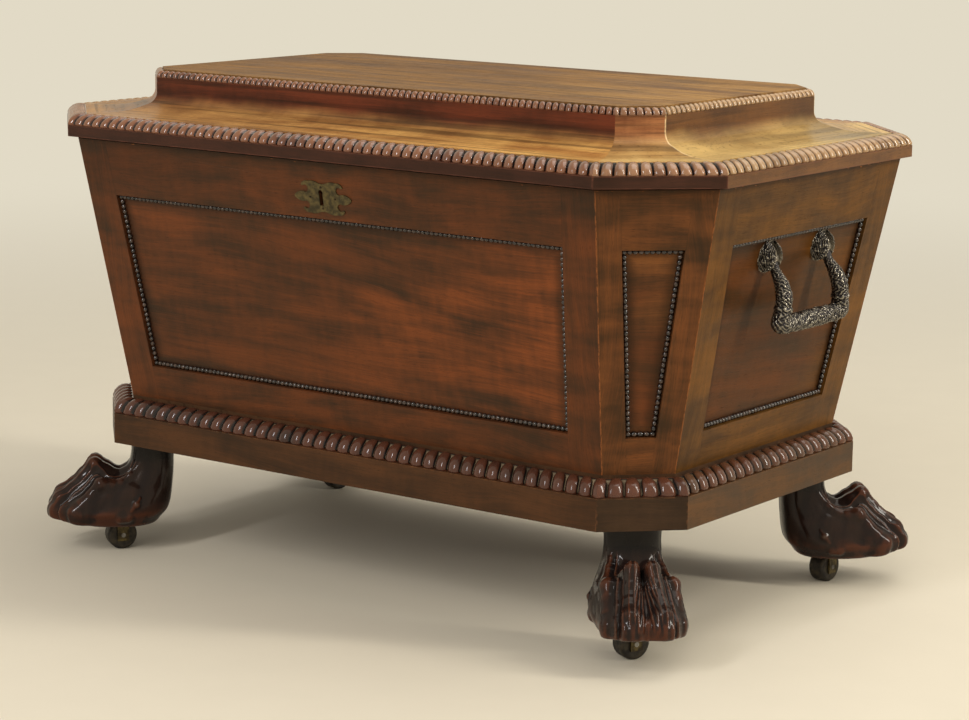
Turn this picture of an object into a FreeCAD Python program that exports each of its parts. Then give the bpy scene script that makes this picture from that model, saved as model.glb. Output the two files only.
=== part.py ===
import FreeCAD, Part
import math
import os
from FreeCAD import Matrix, Placement, Vector

# Mahogany cellarette: an eight-sided tapering chest with a hinged stepped lid,
# on a gadrooned plinth and four paw feet with sunk castors.
# Millimetres. X runs along the length, -Y is the front with the lock, +Z is up.
# The origin is on the floor, under the middle of the chest.

# ---- Plan of the lid edge; every other ring is this plan drawn in by an inset ----
LID_LENGTH = 860.0
LID_DEPTH = 552.0
LID_CANT = 91.5              # how much of each side the canted corner takes

# ---- Insets of the other rings, from the lid edge ----
LID_OVERHANG = 11.0          # lid edge to top of the body
BODY_TAPER = 57.0            # how far each wall leans in from its top to its foot
PLINTH_PROJECTION = 21.0     # foot of the body to plinth face
CROWN_INSET = 96.0           # lid edge to the upright face under the top board

# ---- Heights ----
FOOT_HEIGHT = 130.0
PLINTH_HEIGHT = 33.0
PLINTH_GADROON_HEIGHT = 18.5
PLINTH_GADROON_FULLNESS = 48.0
BODY_HEIGHT = 286.0
LID_SHADOW_GAP = 2.5         # open line between body and lid edge
LID_EDGE_HEIGHT = 12.0
LID_GADROON_HEIGHT = 13.5
COVE_RISE = 47.3             # top of the lid edge to top of the cove
CROWN_GADROON_HEIGHT = 8.7

# ---- Boards of the body ----
WALL = 22.0                  # level thickness of the walls
LONG_STILE = 39.0            # front and back: panel edge to corner
END_STILE = 41.0             # ends: panel edge to corner
CORNER_STILE = 24.5          # canted corners: panel edge to corner
TOP_RAIL = 60.0              # up the slope
BOTTOM_RAIL = 38.0
PANEL_SINK = 6.0             # panel face behind the face of its frame
BEAD_RADIUS = 2.8
BEAD_MITRE_MARGIN = 0.4      # mitre cutters past the sides of the beading
RAIL_WIDTH = 112.0           # plinth rails

# ---- Lid ----
LID_GADROON_WIDTH = 20.0
LID_REBATE = 13.0            # width of the shadow gap
LID_SEAT_GAP = 0.2           # lid to body where they meet
LID_RING_WIDTH = 112.0
COVE_FLAT_DROP = 1.9         # flat of the cove under the crest of the gadroon
COVE_FLAT_INNER = 46.0       # inset where the cove starts to rise
COVE_KNEE_DROP = 28.3        # top of the cove down to its tight bend
COVE_KNEE_OUT = 11.0         # upright face out to its tight bend
COVE_KNEE_ROUND = 14.3       # height over which the bend turns upright
COVE_HOLLOW_IN = 2.0         # deepest part of the hollow, in from half way to the bend
COVE_HOLLOW_RISE = 0.30      # share of the rise to the bend that the hollow has made there
COVE_BEND_OUT = 0.26         # point that sets the bend's curve: shares of its way out and of its width up
COVE_BEND_UP = 0.45
GADROON_FULLNESS = 45.0      # degrees round each quarter moulding to the point that sets its curve
CROWN_GADROON_WIDTH = 8.0
TOP_BOARD_TONGUE = 8.3       # part of the top board let down inside the cove

# ---- Liner and bottle divisions ----
LINER = 2.5
LINER_BELOW_RIM = 8.0
DIVISION = 6.0
DIVISION_HEIGHT = 150.0
BOTTLE_PITCH = 105.0
BOTTLE_COLUMNS = 6
DIVISION_CLEARANCE = 1.0

# ---- Lid hinges ----
HINGE_LENGTH = 64.0
HINGE_SPREAD = 440.0
HINGE_LEAF = 2.0
HINGE_LEAF_REACH = 20.0
KNUCKLE_RADIUS = 3.5
KNUCKLES = 5
KNUCKLE_GAP = 0.25
HINGE_PIN_RADIUS = 1.5
HINGE_BEHIND = 3.4           # hinge axis behind the top back edge
KNUCKLE_CLEARANCE = 0.6
RUNNING_CLEARANCE = 0.06
SCREW_RADIUS = 1.8
SCREW_HEAD_RADIUS = 3.4
SCREW_LENGTH = 15.0
SCREWS_PER_LEAF = 3
SCREW_LINE_BACK = 1.0        # screws nearer the inner edge of the leaf than its middle
LID_SCREW_COVER = 1.0        # lid wood left over the screw points, against the edge height

# ---- Lock ----
LOCK_CASE_LEFT = 32.0
LOCK_CASE_RIGHT = 28.0
LOCK_CASE_HEIGHT = 52.0
LOCK_CASE_COVER = 7.5        # wood left in front of the case
BOLT_LENGTH = 26.0
BOLT_HEIGHT = 8.0
BOLT_THICKNESS = 3.0
BOLT_THROW = 8.0
BOLT_NOSE = 5.0              # nose of the withdrawn bolt, right of the middle of the plate
BOLT_STAPLE_RUN = 24.0       # length cut through the staple's eye ahead of the bolt
BOLT_BELOW_RIM = 12.0        # middle of the bolt under the top of the case, up the slope
BOLT_CLEARANCE = 0.15
STAPLE_WIDTH = 3.0
STAPLE_DEPTH = 7.0
STAPLE_DROP = 14.5
STAPLE_EYE_CLEARANCE = 0.4
STAPLE_GAP = 3.5             # bolt nose to the near face of the staple
STAPLE_CLEARANCE = 0.8
STAPLE_PLATE_LENGTH = 36.0
STAPLE_PLATE_WIDTH = 14.0
STAPLE_PLATE = 2.0
KEYWAY_RADIUS = 7.0
KEYWAY_DEPTH = 9.0
KEYWAY_BELOW_KEYHOLE = 2.0
KEY_LEFT = 2.2               # keyhole left of the middle of its plate
KEY_SLOT = 4.8               # width of the keyhole
KEY_SLOT_HEIGHT = 16.5
KEY_EYE_RADIUS = 2.9
KEYHOLE_BELOW_RIM = 37.0     # middle of the keyhole, down the slope from the rim
ESCUTCHEON = 1.2
# One quarter of the escutcheon's outline from its middle: each arc's through and end points
ESCUTCHEON_TOP = (0.0, 14.6)
ESCUTCHEON_ARCS = [((3.6, 15.0), (7.0, 16.2)), ((12.5, 17.2), (18.0, 16.6)), ((23.8, 15.8), (26.8, 12.4)),
                   ((25.6, 11.6), (24.2, 11.9)), ((18.0, 8.6), (23.8, 5.0)), ((31.0, 4.4), (36.6, 0.8))]
ESCUTCHEON_PIN_UP = 11.2
ESCUTCHEON_PIN_LEFT = 1.1    # upper and lower pins left of the middle
ESCUTCHEON_PIN_ACROSS = 16.0
ESCUTCHEON_PIN_RADIUS = 1.0
ESCUTCHEON_PIN_LENGTH = 6.0
ESCUTCHEON_PIN_HEAD = 0.5

# ---- Handles ----
ROSE_SPACING = 105.0
ROSE_BELOW_RIM = 80.5        # pivot down from the rim of the body
ROSE_RADIUS = 16.5
ROSE_PROJECTION = 12.0
ROSE_SLOT_FLOOR = 2.0
ROSE_SLOT_CLEARANCE = 0.4
BAIL_AXIS_OUT = 7.5          # pivot in front of the sunk panel
BAIL_EYE_RADIUS = 5.0
BAIL_EYE_WIDTH = 9.0
BAIL_PIN_RADIUS = 2.0
BAIL_PIN_GRIP = 2.5          # pin let into each flank of the rose
BAIL_NECK_RADIUS = 4.2
BAIL_NECK_OUT = 3.5
BAIL_NECK_DROP = 14.0
BAIL_ARM_RADIUS = 7.5
BAIL_ARM_OUT = 18.0          # pivot out to the arm's furthest point
BAIL_ARM_DROP = 37.0
BAIL_ARM_SPREAD = 111.0
BAIL_GRIP_RADIUS = 8.7
BAIL_GRIP_OUT = 14.0
BAIL_GRIP_DROP = 65.5
BAIL_GRIP_LENGTH = 120.0
BAIL_JOINT_SWELL = 0.3       # ball at each bend stands out round the bar
STUD_RADIUS = 3.0
NUT_ACROSS_FLATS = 10.0
NUT_THICKNESS = 4.0
NUT_CLEARANCE = 1.0

# ---- Paw feet; X is out along the paw from the middle of the ankle, Y is to its side ----
ANKLE_SETBACK = 43.0         # middle of the plinth's canted face in to the ankle
FOOT_TURN = -3.0             # degrees from the diagonal, the same way round on every foot
SOLE_HEIGHT = 31.0
PAW_SQUARENESS = 0.4         # 0.5 makes the level sections true ovals, 0 makes them square
# Level sections of ankle and pad: height, back, front, half width
PAW_SECTIONS = [(FOOT_HEIGHT, -23.5, 23.5, 28.7), (104.0, -23.5, 25.0, 28.5), (82.0, -22.5, 42.0, 34.0),
                (62.0, -20.5, 76.0, 43.0), (46.0, -16.0, 96.0, 47.5), (SOLE_HEIGHT, -4.0, 82.0, 37.5)]
# Stations along a toe: out, to the side, height, radius
INNER_TOE = [(36.0, 8.5, 76.5, 13.5), (63.0, 11.0, 89.7, 15.0), (81.5, 13.0, 66.5, 13.0),
             (101.0, 14.0, 50.5, 14.2)]
OUTER_TOE = [(48.0, 26.0, 74.5, 12.0), (64.0, 28.5, 60.0, 12.0), (80.5, 28.5, 48.5, 13.3)]

# ---- Castors ----
ROLLER_RADIUS = 16.5
ROLLER_WIDTH = 19.0
ROLLER_ROUNDING = 3.5
CASTOR_TRAIL = 5.0
CASTOR_OUT = 31.0            # swivel axis from the middle of the ankle, along the paw
CASTOR_AXLE_RADIUS = 2.5
CASTOR_CHEEK = 2.0
CASTOR_CHEEK_GAP = 0.5
CASTOR_CHEEK_MARGIN = 6.5    # cheek round the middle of its axle
CASTOR_STEM_CLEARANCE = 1.0  # stem short of the end of its socket
CASTOR_CROWN = 3.0
CASTOR_CROWN_GAP = 1.5
CASTOR_STEM_RADIUS = 5.0
CASTOR_STEM_LENGTH = 22.0
CASTOR_SWEEP_CLEARANCE = 2.5
SOCKET_PLATE = 2.0
SOCKET_TUBE_RADIUS = 7.5
SOCKET_PLATE_GAP = 0.4
# Which way each roller trails from its stem as it stands: degrees anticlockwise from +X
CASTOR_HEADING = {"front_left": -122.0, "front_right": -116.0, "back_left": -108.0, "back_right": -96.0}

# ---- Modelling allowances ----
OVERLAP = 0.5                # how far joined forms run into each other
OVERCUT = 1.0                # how far a cutter runs past what it cuts

# ---- Worked out from the above ----
MITRE = 2.0 - math.sqrt(2.0)          # loss of cant for each unit of inset
BODY_INSET_TOP = LID_OVERHANG
BODY_INSET_FOOT = LID_OVERHANG + BODY_TAPER
PLINTH_INSET = BODY_INSET_FOOT - PLINTH_PROJECTION
PLINTH_TOP = FOOT_HEIGHT + PLINTH_HEIGHT
BODY_FOOT = PLINTH_TOP + PLINTH_GADROON_HEIGHT
BODY_RIM = BODY_FOOT + BODY_HEIGHT
ROSE_HEIGHT = BODY_RIM - ROSE_BELOW_RIM  # of the pivot, above the floor
LID_SEAT = BODY_RIM + LID_SEAT_GAP
LID_UNDER = BODY_RIM + LID_SHADOW_GAP
LID_EDGE_TOP = LID_UNDER + LID_EDGE_HEIGHT
COVE_FLAT = LID_EDGE_TOP + LID_GADROON_HEIGHT - COVE_FLAT_DROP
COVE_TOP = LID_EDGE_TOP + COVE_RISE
CROWN_TOP = COVE_TOP + CROWN_GADROON_HEIGHT
SLOPE = math.atan2(BODY_TAPER, BODY_HEIGHT)
SLOPE_LENGTH = math.hypot(BODY_TAPER, BODY_HEIGHT)
WALL_SQUARE = WALL * math.cos(SLOPE)  # wall thickness square to its face
HINGE_AXIS_Y = LID_DEPTH / 2 - LID_OVERHANG + HINGE_BEHIND
HINGE_AXIS_Z = (BODY_RIM + LID_SEAT) / 2
FORK_CROWN_TOP = 2 * ROLLER_RADIUS + CASTOR_CROWN_GAP + CASTOR_CROWN
SOCKET_UNDER = FORK_CROWN_TOP + SOCKET_PLATE_GAP
RECESS_TOP = SOCKET_UNDER + SOCKET_PLATE
HALF_FORK_GAP = ROLLER_WIDTH / 2 + CASTOR_CHEEK_GAP
HALF_FORK = HALF_FORK_GAP + CASTOR_CHEEK
CASTOR_CORNERS = {"front_left": (-1, -1), "front_right": (1, -1),
                  "back_left": (-1, 1), "back_right": (1, 1)}
UP = Vector(0, 0, 1)


# ---------------------------------------------------------------- helpers

def octagon(inset, z):
    """The eight corners of the plan drawn in by inset, anticlockwise from the front's left end."""
    length = LID_LENGTH / 2 - inset
    depth = LID_DEPTH / 2 - inset
    cant = LID_CANT - inset * MITRE
    plan = [(-(length - cant), -depth), (length - cant, -depth),
            (length, -(depth - cant)), (length, depth - cant),
            (length - cant, depth), (-(length - cant), depth),
            (-length, depth - cant), (-length, -(depth - cant))]
    return [Vector(x, y, z) for x, y in plan]


def polygon_face(points):
    return Part.Face(Part.makePolygon(points + [points[0]]))


def prism(points, height):
    return prism_of(polygon_face(points), height)


def prism_of(face, height):
    return face.extrude(Vector(0, 0, height))


def solid_between(lower, upper):
    """Flat-sided solid between two polygons with the same number of corners."""
    faces = [polygon_face(lower), polygon_face(upper)]
    count = len(lower)
    for i in range(count):
        j = (i + 1) % count
        faces.append(polygon_face([lower[i], lower[j], upper[j], upper[i]]))
    shell = Part.makeShell(faces)
    shell.sewShape()
    solid = Part.makeSolid(shell)
    if solid.Volume < 0:
        solid.reverse()
    return solid


def axes_placement(origin, x_axis, y_axis, z_axis):
    """Placement that carries local X, Y and Z to the three given directions."""
    return Placement(Matrix(x_axis.x, y_axis.x, z_axis.x, origin.x,
                            x_axis.y, y_axis.y, z_axis.y, origin.y,
                            x_axis.z, y_axis.z, z_axis.z, origin.z,
                            0, 0, 0, 1))


def placed(shape, placement):
    result = shape.copy()
    result.Placement = placement.multiply(result.Placement)
    return result


def block(x, y, z):
    """Box from three (low, high) pairs."""
    corner = Vector(x[0], y[0], z[0])
    return Part.makeBox(x[1] - x[0], y[1] - y[0], z[1] - z[0], corner)


def rod(start, direction, length, radius):
    return Part.makeCylinder(radius, length, start, direction)


def face_normal(index):
    """Level outward direction of a face of the plan."""
    angle = math.radians(-90 + 45 * index)
    return Vector(math.cos(angle), math.sin(angle), 0)


def face_placement(index):
    """Local X along the face, Y up its slope and Z out of it, from the middle of its foot."""
    foot = octagon(BODY_INSET_FOOT, BODY_FOOT)
    middle = (foot[index] + foot[(index + 1) % 8]).multiply(0.5)
    outward = face_normal(index)
    along = UP.cross(outward)
    up_slope = outward * math.sin(SLOPE) + UP * math.cos(SLOPE)
    return axes_placement(middle, along, up_slope, along.cross(up_slope))


def face_half_width(index, up_slope):
    """Half the width of a body face at a distance up its slope."""
    share = up_slope / SLOPE_LENGTH
    corners = octagon(BODY_INSET_FOOT - BODY_TAPER * share, 0)
    return (corners[(index + 1) % 8] - corners[index]).Length / 2


def outline(start, *steps):
    """Closed face from a start point; a step is an end point, or (through, end) for an arc."""
    edges = []
    last = Vector(start[0], start[1], 0)
    for step in steps:
        if isinstance(step[0], tuple):
            through = Vector(step[0][0], step[0][1], 0)
            end = Vector(step[1][0], step[1][1], 0)
            edges.append(Part.Arc(last, through, end).toShape())
        else:
            end = Vector(step[0], step[1], 0)
            edges.append(Part.makeLine(last, end))
        last = end
    return Part.Face(Part.Wire(edges))


def quarter_ellipse_point(centre, across, up, degrees):
    angle = math.radians(degrees)
    return (centre[0] + across * math.cos(angle), centre[1] + up * math.sin(angle))


def ring_pieces(profile):
    """Eight mitred lengths of a moulding; the profile's X is inset from the lid edge, its Y is height."""
    box = profile.BoundBox
    pieces = []
    for index in range(8):
        edge = octagon(0, 0)
        middle = (edge[index] + edge[(index + 1) % 8]).multiply(0.5)
        inward = face_normal(index) * -1
        along = inward.cross(UP)
        length = (edge[1] - edge[0]).Length
        local = axes_placement(middle - along * length, inward, UP, along)
        bar = placed(profile, local).extrude(along * (2 * length))
        outer = octagon(box.XMin - OVERCUT, box.YMin - OVERCUT)
        inner = octagon(box.XMax + OVERCUT, box.YMin - OVERCUT)
        after = (index + 1) % 8
        wedge = prism([outer[index], outer[after], inner[after], inner[index]],
                      box.YMax - box.YMin + 2 * OVERCUT)
        pieces.append(bar.common(wedge).Solids[0])
    return pieces


def limb(stations, swell):
    """Round bar through (point, radius) stations: a ball at each, larger by swell, and a taper between."""
    shape = None
    for point, radius in stations:
        ball = Part.makeSphere(radius + swell, point)
        shape = ball if shape is None else shape.fuse(ball)
    for (start, start_radius), (end, end_radius) in zip(stations, stations[1:]):
        run = end - start
        if abs(start_radius - end_radius) < 0.01:
            taper = rod(start, run, run.Length, start_radius)
        else:
            taper = Part.makeCone(start_radius, end_radius, run.Length, start, run)
        shape = shape.fuse(taper)
    return shape


def save(node, shapes):
    """Write one node from its solid or its list of separate solids."""
    parts = shapes if isinstance(shapes, list) else [shapes]
    solids = [solid for part in parts for solid in part.Solids]
    for solid in solids:
        if not solid.isValid() or solid.Volume <= 0:
            print("bad solid in", node, solid.Volume)
    whole = solids[0] if len(solids) == 1 else Part.makeCompound(solids)
    whole.exportStep("parts/" + node + ".step")


# ---------------------------------------------------------------- body

def stile_of(index):
    if index in (0, 4):
        return LONG_STILE
    if index in (2, 6):
        return END_STILE
    return CORNER_STILE


def window(index, grow=0.0):
    """Corners of a face's panel opening in its local plane, drawn in by a negative grow."""
    low = BOTTOM_RAIL - grow
    high = SLOPE_LENGTH - TOP_RAIL + grow
    lean = BODY_TAPER * math.tan(math.radians(22.5)) / SLOPE_LENGTH
    side = stile_of(index) - grow * math.hypot(1, lean)
    bottom = face_half_width(index, low) - side
    top = face_half_width(index, high) - side
    return [Vector(-bottom, low, 0), Vector(bottom, low, 0), Vector(top, high, 0), Vector(-top, high, 0)]


def wall_board(index):
    """One mitred wall board, before its opening is cut."""
    after = (index + 1) % 8
    rings = []
    for inset, z in ((BODY_INSET_FOOT, BODY_FOOT), (BODY_INSET_TOP, BODY_RIM)):
        outer = octagon(inset, z)
        inner = octagon(inset + WALL, z)
        rings.append([outer[index], outer[after], inner[after], inner[index]])
    return solid_between(rings[0], rings[1])


def panel_prism(index, low, high):
    opening = prism(window(index), high - low)
    opening.translate(Vector(0, 0, low))
    return opening


def wall_frame(index):
    cutter = panel_prism(index, -WALL_SQUARE - OVERCUT, OVERCUT)
    return wall_board(index).cut(placed(cutter, face_placement(index)))


def wall_panel(index):
    panel = panel_prism(index, -WALL_SQUARE, -PANEL_SINK)
    return placed(panel, face_placement(index))


def wall_beading(index):
    """Four mitred half-round strips round the opening, on the sunk panel."""
    outer = window(index, BEAD_MITRE_MARGIN)
    inner = window(index, -2 * BEAD_RADIUS - BEAD_MITRE_MARGIN)
    middle = window(index, -BEAD_RADIUS)
    strips = []
    for i in range(4):
        j = (i + 1) % 4
        start = middle[i] + (middle[i] - middle[j]).normalize() * (4 * BEAD_RADIUS)
        run = middle[j] - start
        run.Length = run.Length + 4 * BEAD_RADIUS
        wedge = prism([outer[i], outer[j], inner[j], inner[i]], 2 * BEAD_RADIUS)
        strip = rod(start, run, run.Length, BEAD_RADIUS).common(wedge)
        strip.translate(Vector(0, 0, -PANEL_SINK))
        strips.append(placed(strip, face_placement(index)))
    return strips


def bottom_board():
    return prism(octagon(BODY_INSET_FOOT, PLINTH_TOP), PLINTH_GADROON_HEIGHT)


def liner_frustum(depth_in, low, high):
    """Inside of the walls drawn in by depth_in, between two heights."""
    rings = []
    for z in (low, high):
        lean = BODY_TAPER * (z - BODY_FOOT) / BODY_HEIGHT
        rings.append(octagon(BODY_INSET_FOOT + WALL - lean + depth_in, z))
    return solid_between(rings[0], rings[1])


def liner():
    top = BODY_RIM - LINER_BELOW_RIM
    return liner_frustum(0, BODY_FOOT, top).cut(liner_frustum(LINER, BODY_FOOT + LINER, top + OVERCUT))


def division_planes():
    """X of the crossways divisions and Y of the lengthways ones."""
    across = [(i - BOTTLE_COLUMNS / 2) * BOTTLE_PITCH for i in range(1, BOTTLE_COLUMNS)]
    return across, [-BOTTLE_PITCH / 2, BOTTLE_PITCH / 2]


def divisions():
    """Long boards, and short crossways boards that stand between them and the liner."""
    low = BODY_FOOT + LINER
    high = low + DIVISION_HEIGHT
    room = liner_frustum(LINER + DIVISION_CLEARANCE, low, high)
    across, along = division_planes()
    half = DIVISION / 2
    longs = []
    for y in along:
        board = block((-LID_LENGTH, LID_LENGTH), (y - half, y + half), (low, high))
        longs.append(board.common(room))
    bays = [(-LID_DEPTH, along[0] - half), (along[0] + half, along[1] - half), (along[1] + half, LID_DEPTH)]
    crosses = []
    for x in across:
        for bay in bays:
            board = block((x - half, x + half), bay, (low, high))
            crosses.append(board.common(room))
    return longs, crosses


# ---------------------------------------------------------------- plinth

def plinth_rails():
    """Front and back rails carry the canted corners; the end rails stand between them."""
    corners = octagon(PLINTH_INSET, FOOT_HEIGHT)
    inner_y = LID_DEPTH / 2 - PLINTH_INSET - RAIL_WIDTH
    end_x = LID_LENGTH / 2 - PLINTH_INSET
    rails = {}
    for side, name in ((-1, "front"), (1, "back")):
        shell = block((-LID_LENGTH, LID_LENGTH), sorted((side * inner_y, side * LID_DEPTH)),
                      (FOOT_HEIGHT, PLINTH_TOP))
        rails[name] = prism(corners, PLINTH_HEIGHT).common(shell)
    for side, name in ((-1, "left"), (1, "right")):
        rails[name] = block(sorted((side * (end_x - RAIL_WIDTH), side * end_x)),
                            (-inner_y, inner_y), (FOOT_HEIGHT, PLINTH_TOP))
    return rails


def plinth_gadroon():
    """Ovolo that fills the step between the plinth's top and the foot of the body."""
    low, high = PLINTH_TOP, BODY_FOOT
    inner = BODY_INSET_FOOT
    centre = (inner, low)
    through = quarter_ellipse_point(centre, -PLINTH_PROJECTION, high - low, PLINTH_GADROON_FULLNESS)
    profile = outline((inner, low), (inner, high), (through, (PLINTH_INSET, low)), (inner, low))
    return ring_pieces(profile)


# ---------------------------------------------------------------- feet and castors

def corner_origin(corner):
    """Point on the floor under the middle of an ankle, and the diagonal direction outwards."""
    side_x, side_y = CASTOR_CORNERS[corner]
    plan = octagon(PLINTH_INSET, 0)
    middle = (plan[1] + plan[2]).multiply(0.5)
    outward = Vector(side_x, side_y, 0).normalize()
    return Vector(side_x * abs(middle.x), side_y * abs(middle.y), 0) - outward * ANKLE_SETBACK, outward


def corner_placement(corner):
    origin, diagonal = corner_origin(corner)
    outward = FreeCAD.Rotation(UP, FOOT_TURN).multVec(diagonal)
    return axes_placement(origin, outward, UP.cross(outward), UP)


def foot_section(z, back, front, half_width):
    """Squarish oval across the foot at one height, as a smooth closed curve."""
    middle = (front + back) / 2
    half = (front - back) / 2
    bulge = 0.5 ** PAW_SQUARENESS
    corners = [(1, 0), (bulge, bulge), (0, 1), (-bulge, bulge),
               (-1, 0), (-bulge, -bulge), (0, -1), (bulge, -bulge)]
    curve = Part.BSplineCurve()
    curve.interpolate([Vector(middle + half * x, half_width * y, z) for x, y in corners], PeriodicFlag=True)
    return Part.Wire(curve.toShape())


def toe(side, stations):
    """One toe through its stations, on the left (1) or right (-1) of the paw."""
    return limb([(Vector(x, side * y, z), radius) for x, y, z, radius in stations], 0)


def castor_recess_radius():
    return math.hypot(CASTOR_TRAIL + ROLLER_RADIUS, HALF_FORK) + CASTOR_SWEEP_CLEARANCE


def foot_local():
    """Paw with four toes and the castor's recess, along local X."""
    paw = Part.makeLoft([foot_section(*section) for section in PAW_SECTIONS], True, False)
    for side in (-1, 1):
        paw = paw.fuse(toe(side, INNER_TOE)).fuse(toe(side, OUTER_TOE))
    axis = Vector(CASTOR_OUT, 0, 0)
    paw = paw.cut(rod(axis, UP, RECESS_TOP, castor_recess_radius()))
    return paw.cut(rod(axis, UP, RECESS_TOP + CASTOR_STEM_LENGTH, SOCKET_TUBE_RADIUS))


def castor_socket_local():
    """Brass plate at the top of the recess, with the tube that the stem turns in."""
    foot = Vector(CASTOR_OUT, 0, SOCKET_UNDER)
    plate = rod(foot, UP, SOCKET_PLATE, castor_recess_radius())
    tube = rod(foot, UP, SOCKET_PLATE + CASTOR_STEM_LENGTH, SOCKET_TUBE_RADIUS)
    bore = rod(foot, UP, CASTOR_STEM_LENGTH, CASTOR_STEM_RADIUS + RUNNING_CLEARANCE)
    return plate.fuse(tube).removeSplitter().cut(bore)


def castor_fork_local():
    """Stem, crown and two cheeks; the roller trails along local X from the stem at the origin."""
    crown_under = FORK_CROWN_TOP - CASTOR_CROWN
    reach = CASTOR_TRAIL + CASTOR_CHEEK_MARGIN
    crown = block((-SOCKET_TUBE_RADIUS, reach), (-HALF_FORK, HALF_FORK), (crown_under, FORK_CROWN_TOP))
    stem_top = SOCKET_UNDER + CASTOR_STEM_LENGTH - CASTOR_STEM_CLEARANCE
    stem_foot = FORK_CROWN_TOP - OVERLAP
    fork = crown.fuse(rod(Vector(0, 0, stem_foot), UP, stem_top - stem_foot, CASTOR_STEM_RADIUS))
    low = ROLLER_RADIUS - CASTOR_CHEEK_MARGIN
    for side in (-1, 1):
        span = sorted((side * HALF_FORK_GAP, side * HALF_FORK))
        cheek = block((CASTOR_TRAIL - CASTOR_CHEEK_MARGIN, reach), span, (low, crown_under + OVERLAP))
        fork = fork.fuse(cheek)
    hole = rod(Vector(CASTOR_TRAIL, -HALF_FORK - OVERCUT, ROLLER_RADIUS), Vector(0, 1, 0),
               2 * (HALF_FORK + OVERCUT), CASTOR_AXLE_RADIUS)
    return fork.removeSplitter().cut(hole)


def castor_axle_local():
    start = Vector(CASTOR_TRAIL, -HALF_FORK, ROLLER_RADIUS)
    return rod(start, Vector(0, 1, 0), 2 * HALF_FORK, CASTOR_AXLE_RADIUS)


def castor_roller_local():
    """Drum roller with rounded rims, bored to run on the axle."""
    half = ROLLER_WIDTH / 2
    rim = ROLLER_RADIUS - ROLLER_ROUNDING
    flat = half - ROLLER_ROUNDING
    corner = ROLLER_ROUNDING * math.sqrt(0.5)
    bore = CASTOR_AXLE_RADIUS + RUNNING_CLEARANCE
    section = outline((bore, -half), (rim, -half), ((rim + corner, -flat - corner), (ROLLER_RADIUS, -flat)),
                      (ROLLER_RADIUS, flat), ((rim + corner, flat + corner), (rim, half)), (bore, half),
                      (bore, -half))
    roller = section.revolve(Vector(0, 0, 0), Vector(0, 1, 0), 360)
    roller.translate(Vector(CASTOR_TRAIL, 0, ROLLER_RADIUS))
    return roller


def castor_placement(corner):
    """Stem axis of one castor, turned as it stands."""
    stem = corner_placement(corner).multVec(Vector(CASTOR_OUT, 0, 0))
    return Placement(stem, FreeCAD.Rotation(UP, CASTOR_HEADING[corner]))


# ---------------------------------------------------------------- lid

def lid_frame():
    """Eight mitred boards; the outer part of the underside is cut back for the shadow gap."""
    profile = outline((0, LID_UNDER), (0, LID_EDGE_TOP), (LID_RING_WIDTH, LID_EDGE_TOP),
                      (LID_RING_WIDTH, LID_SEAT), (LID_REBATE, LID_SEAT), (LID_REBATE, LID_UNDER),
                      (0, LID_UNDER))
    return ring_pieces(profile)


def lid_gadroon():
    centre = (LID_GADROON_WIDTH, LID_EDGE_TOP)
    top = LID_EDGE_TOP + LID_GADROON_HEIGHT
    through = quarter_ellipse_point(centre, -LID_GADROON_WIDTH, LID_GADROON_HEIGHT, GADROON_FULLNESS)
    profile = outline(centre, (LID_GADROON_WIDTH, top), (through, (0, LID_EDGE_TOP)), centre)
    return ring_pieces(profile)


def lid_cove():
    """Hollow moulding: a flat, a long hollow rising to a tight bend, and the upright face."""
    outer = LID_GADROON_WIDTH
    inner = LID_RING_WIDTH
    knee = (CROWN_INSET - COVE_KNEE_OUT, COVE_TOP - COVE_KNEE_DROP)
    hollow = ((COVE_FLAT_INNER + knee[0]) / 2 + COVE_HOLLOW_IN,
              COVE_FLAT + COVE_HOLLOW_RISE * (knee[1] - COVE_FLAT))
    bend_end = (CROWN_INSET, knee[1] + COVE_KNEE_ROUND)
    bend = (CROWN_INSET - COVE_BEND_OUT * COVE_KNEE_OUT, knee[1] + COVE_BEND_UP * COVE_KNEE_OUT)
    profile = outline((outer, LID_EDGE_TOP), (outer, COVE_FLAT), (COVE_FLAT_INNER, COVE_FLAT),
                      (hollow, knee), (bend, bend_end), (CROWN_INSET, COVE_TOP), (inner, COVE_TOP),
                      (inner, LID_EDGE_TOP), (outer, LID_EDGE_TOP))
    return ring_pieces(profile)


def lid_top_board():
    top_inset = CROWN_INSET + CROWN_GADROON_WIDTH
    board = prism(octagon(top_inset, COVE_TOP), CROWN_GADROON_HEIGHT)
    tongue = prism(octagon(LID_RING_WIDTH, COVE_TOP - TOP_BOARD_TONGUE), TOP_BOARD_TONGUE)
    return board.fuse(tongue).removeSplitter()


def crown_gadroon():
    inner = CROWN_INSET + CROWN_GADROON_WIDTH
    centre = (inner, COVE_TOP)
    through = quarter_ellipse_point(centre, -CROWN_GADROON_WIDTH, CROWN_GADROON_HEIGHT, GADROON_FULLNESS)
    profile = outline(centre, (inner, CROWN_TOP), (through, (CROWN_INSET, COVE_TOP)), centre)
    return ring_pieces(profile)


# ---------------------------------------------------------------- hinges

def hinge_centres():
    return [-HINGE_SPREAD / 2, HINGE_SPREAD / 2]


def knuckle_spans(centre, owner):
    """X spans of the knuckles that belong to the body (0) or to the lid (1)."""
    pitch = HINGE_LENGTH / KNUCKLES
    start = centre - HINGE_LENGTH / 2
    spans = []
    for i in range(owner, KNUCKLES, 2):
        low = start + i * pitch + (0 if i == 0 else KNUCKLE_GAP / 2)
        high = start + (i + 1) * pitch - (0 if i == KNUCKLES - 1 else KNUCKLE_GAP / 2)
        spans.append((low, high))
    return spans


def leaf_heights(owner):
    if owner == 0:
        return BODY_RIM - HINGE_LEAF, BODY_RIM
    return LID_SEAT, LID_SEAT + HINGE_LEAF


def leaf_edge():
    """Y of the inner edge of the hinge leaves."""
    return LID_DEPTH / 2 - LID_OVERHANG - HINGE_LEAF_REACH


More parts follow.
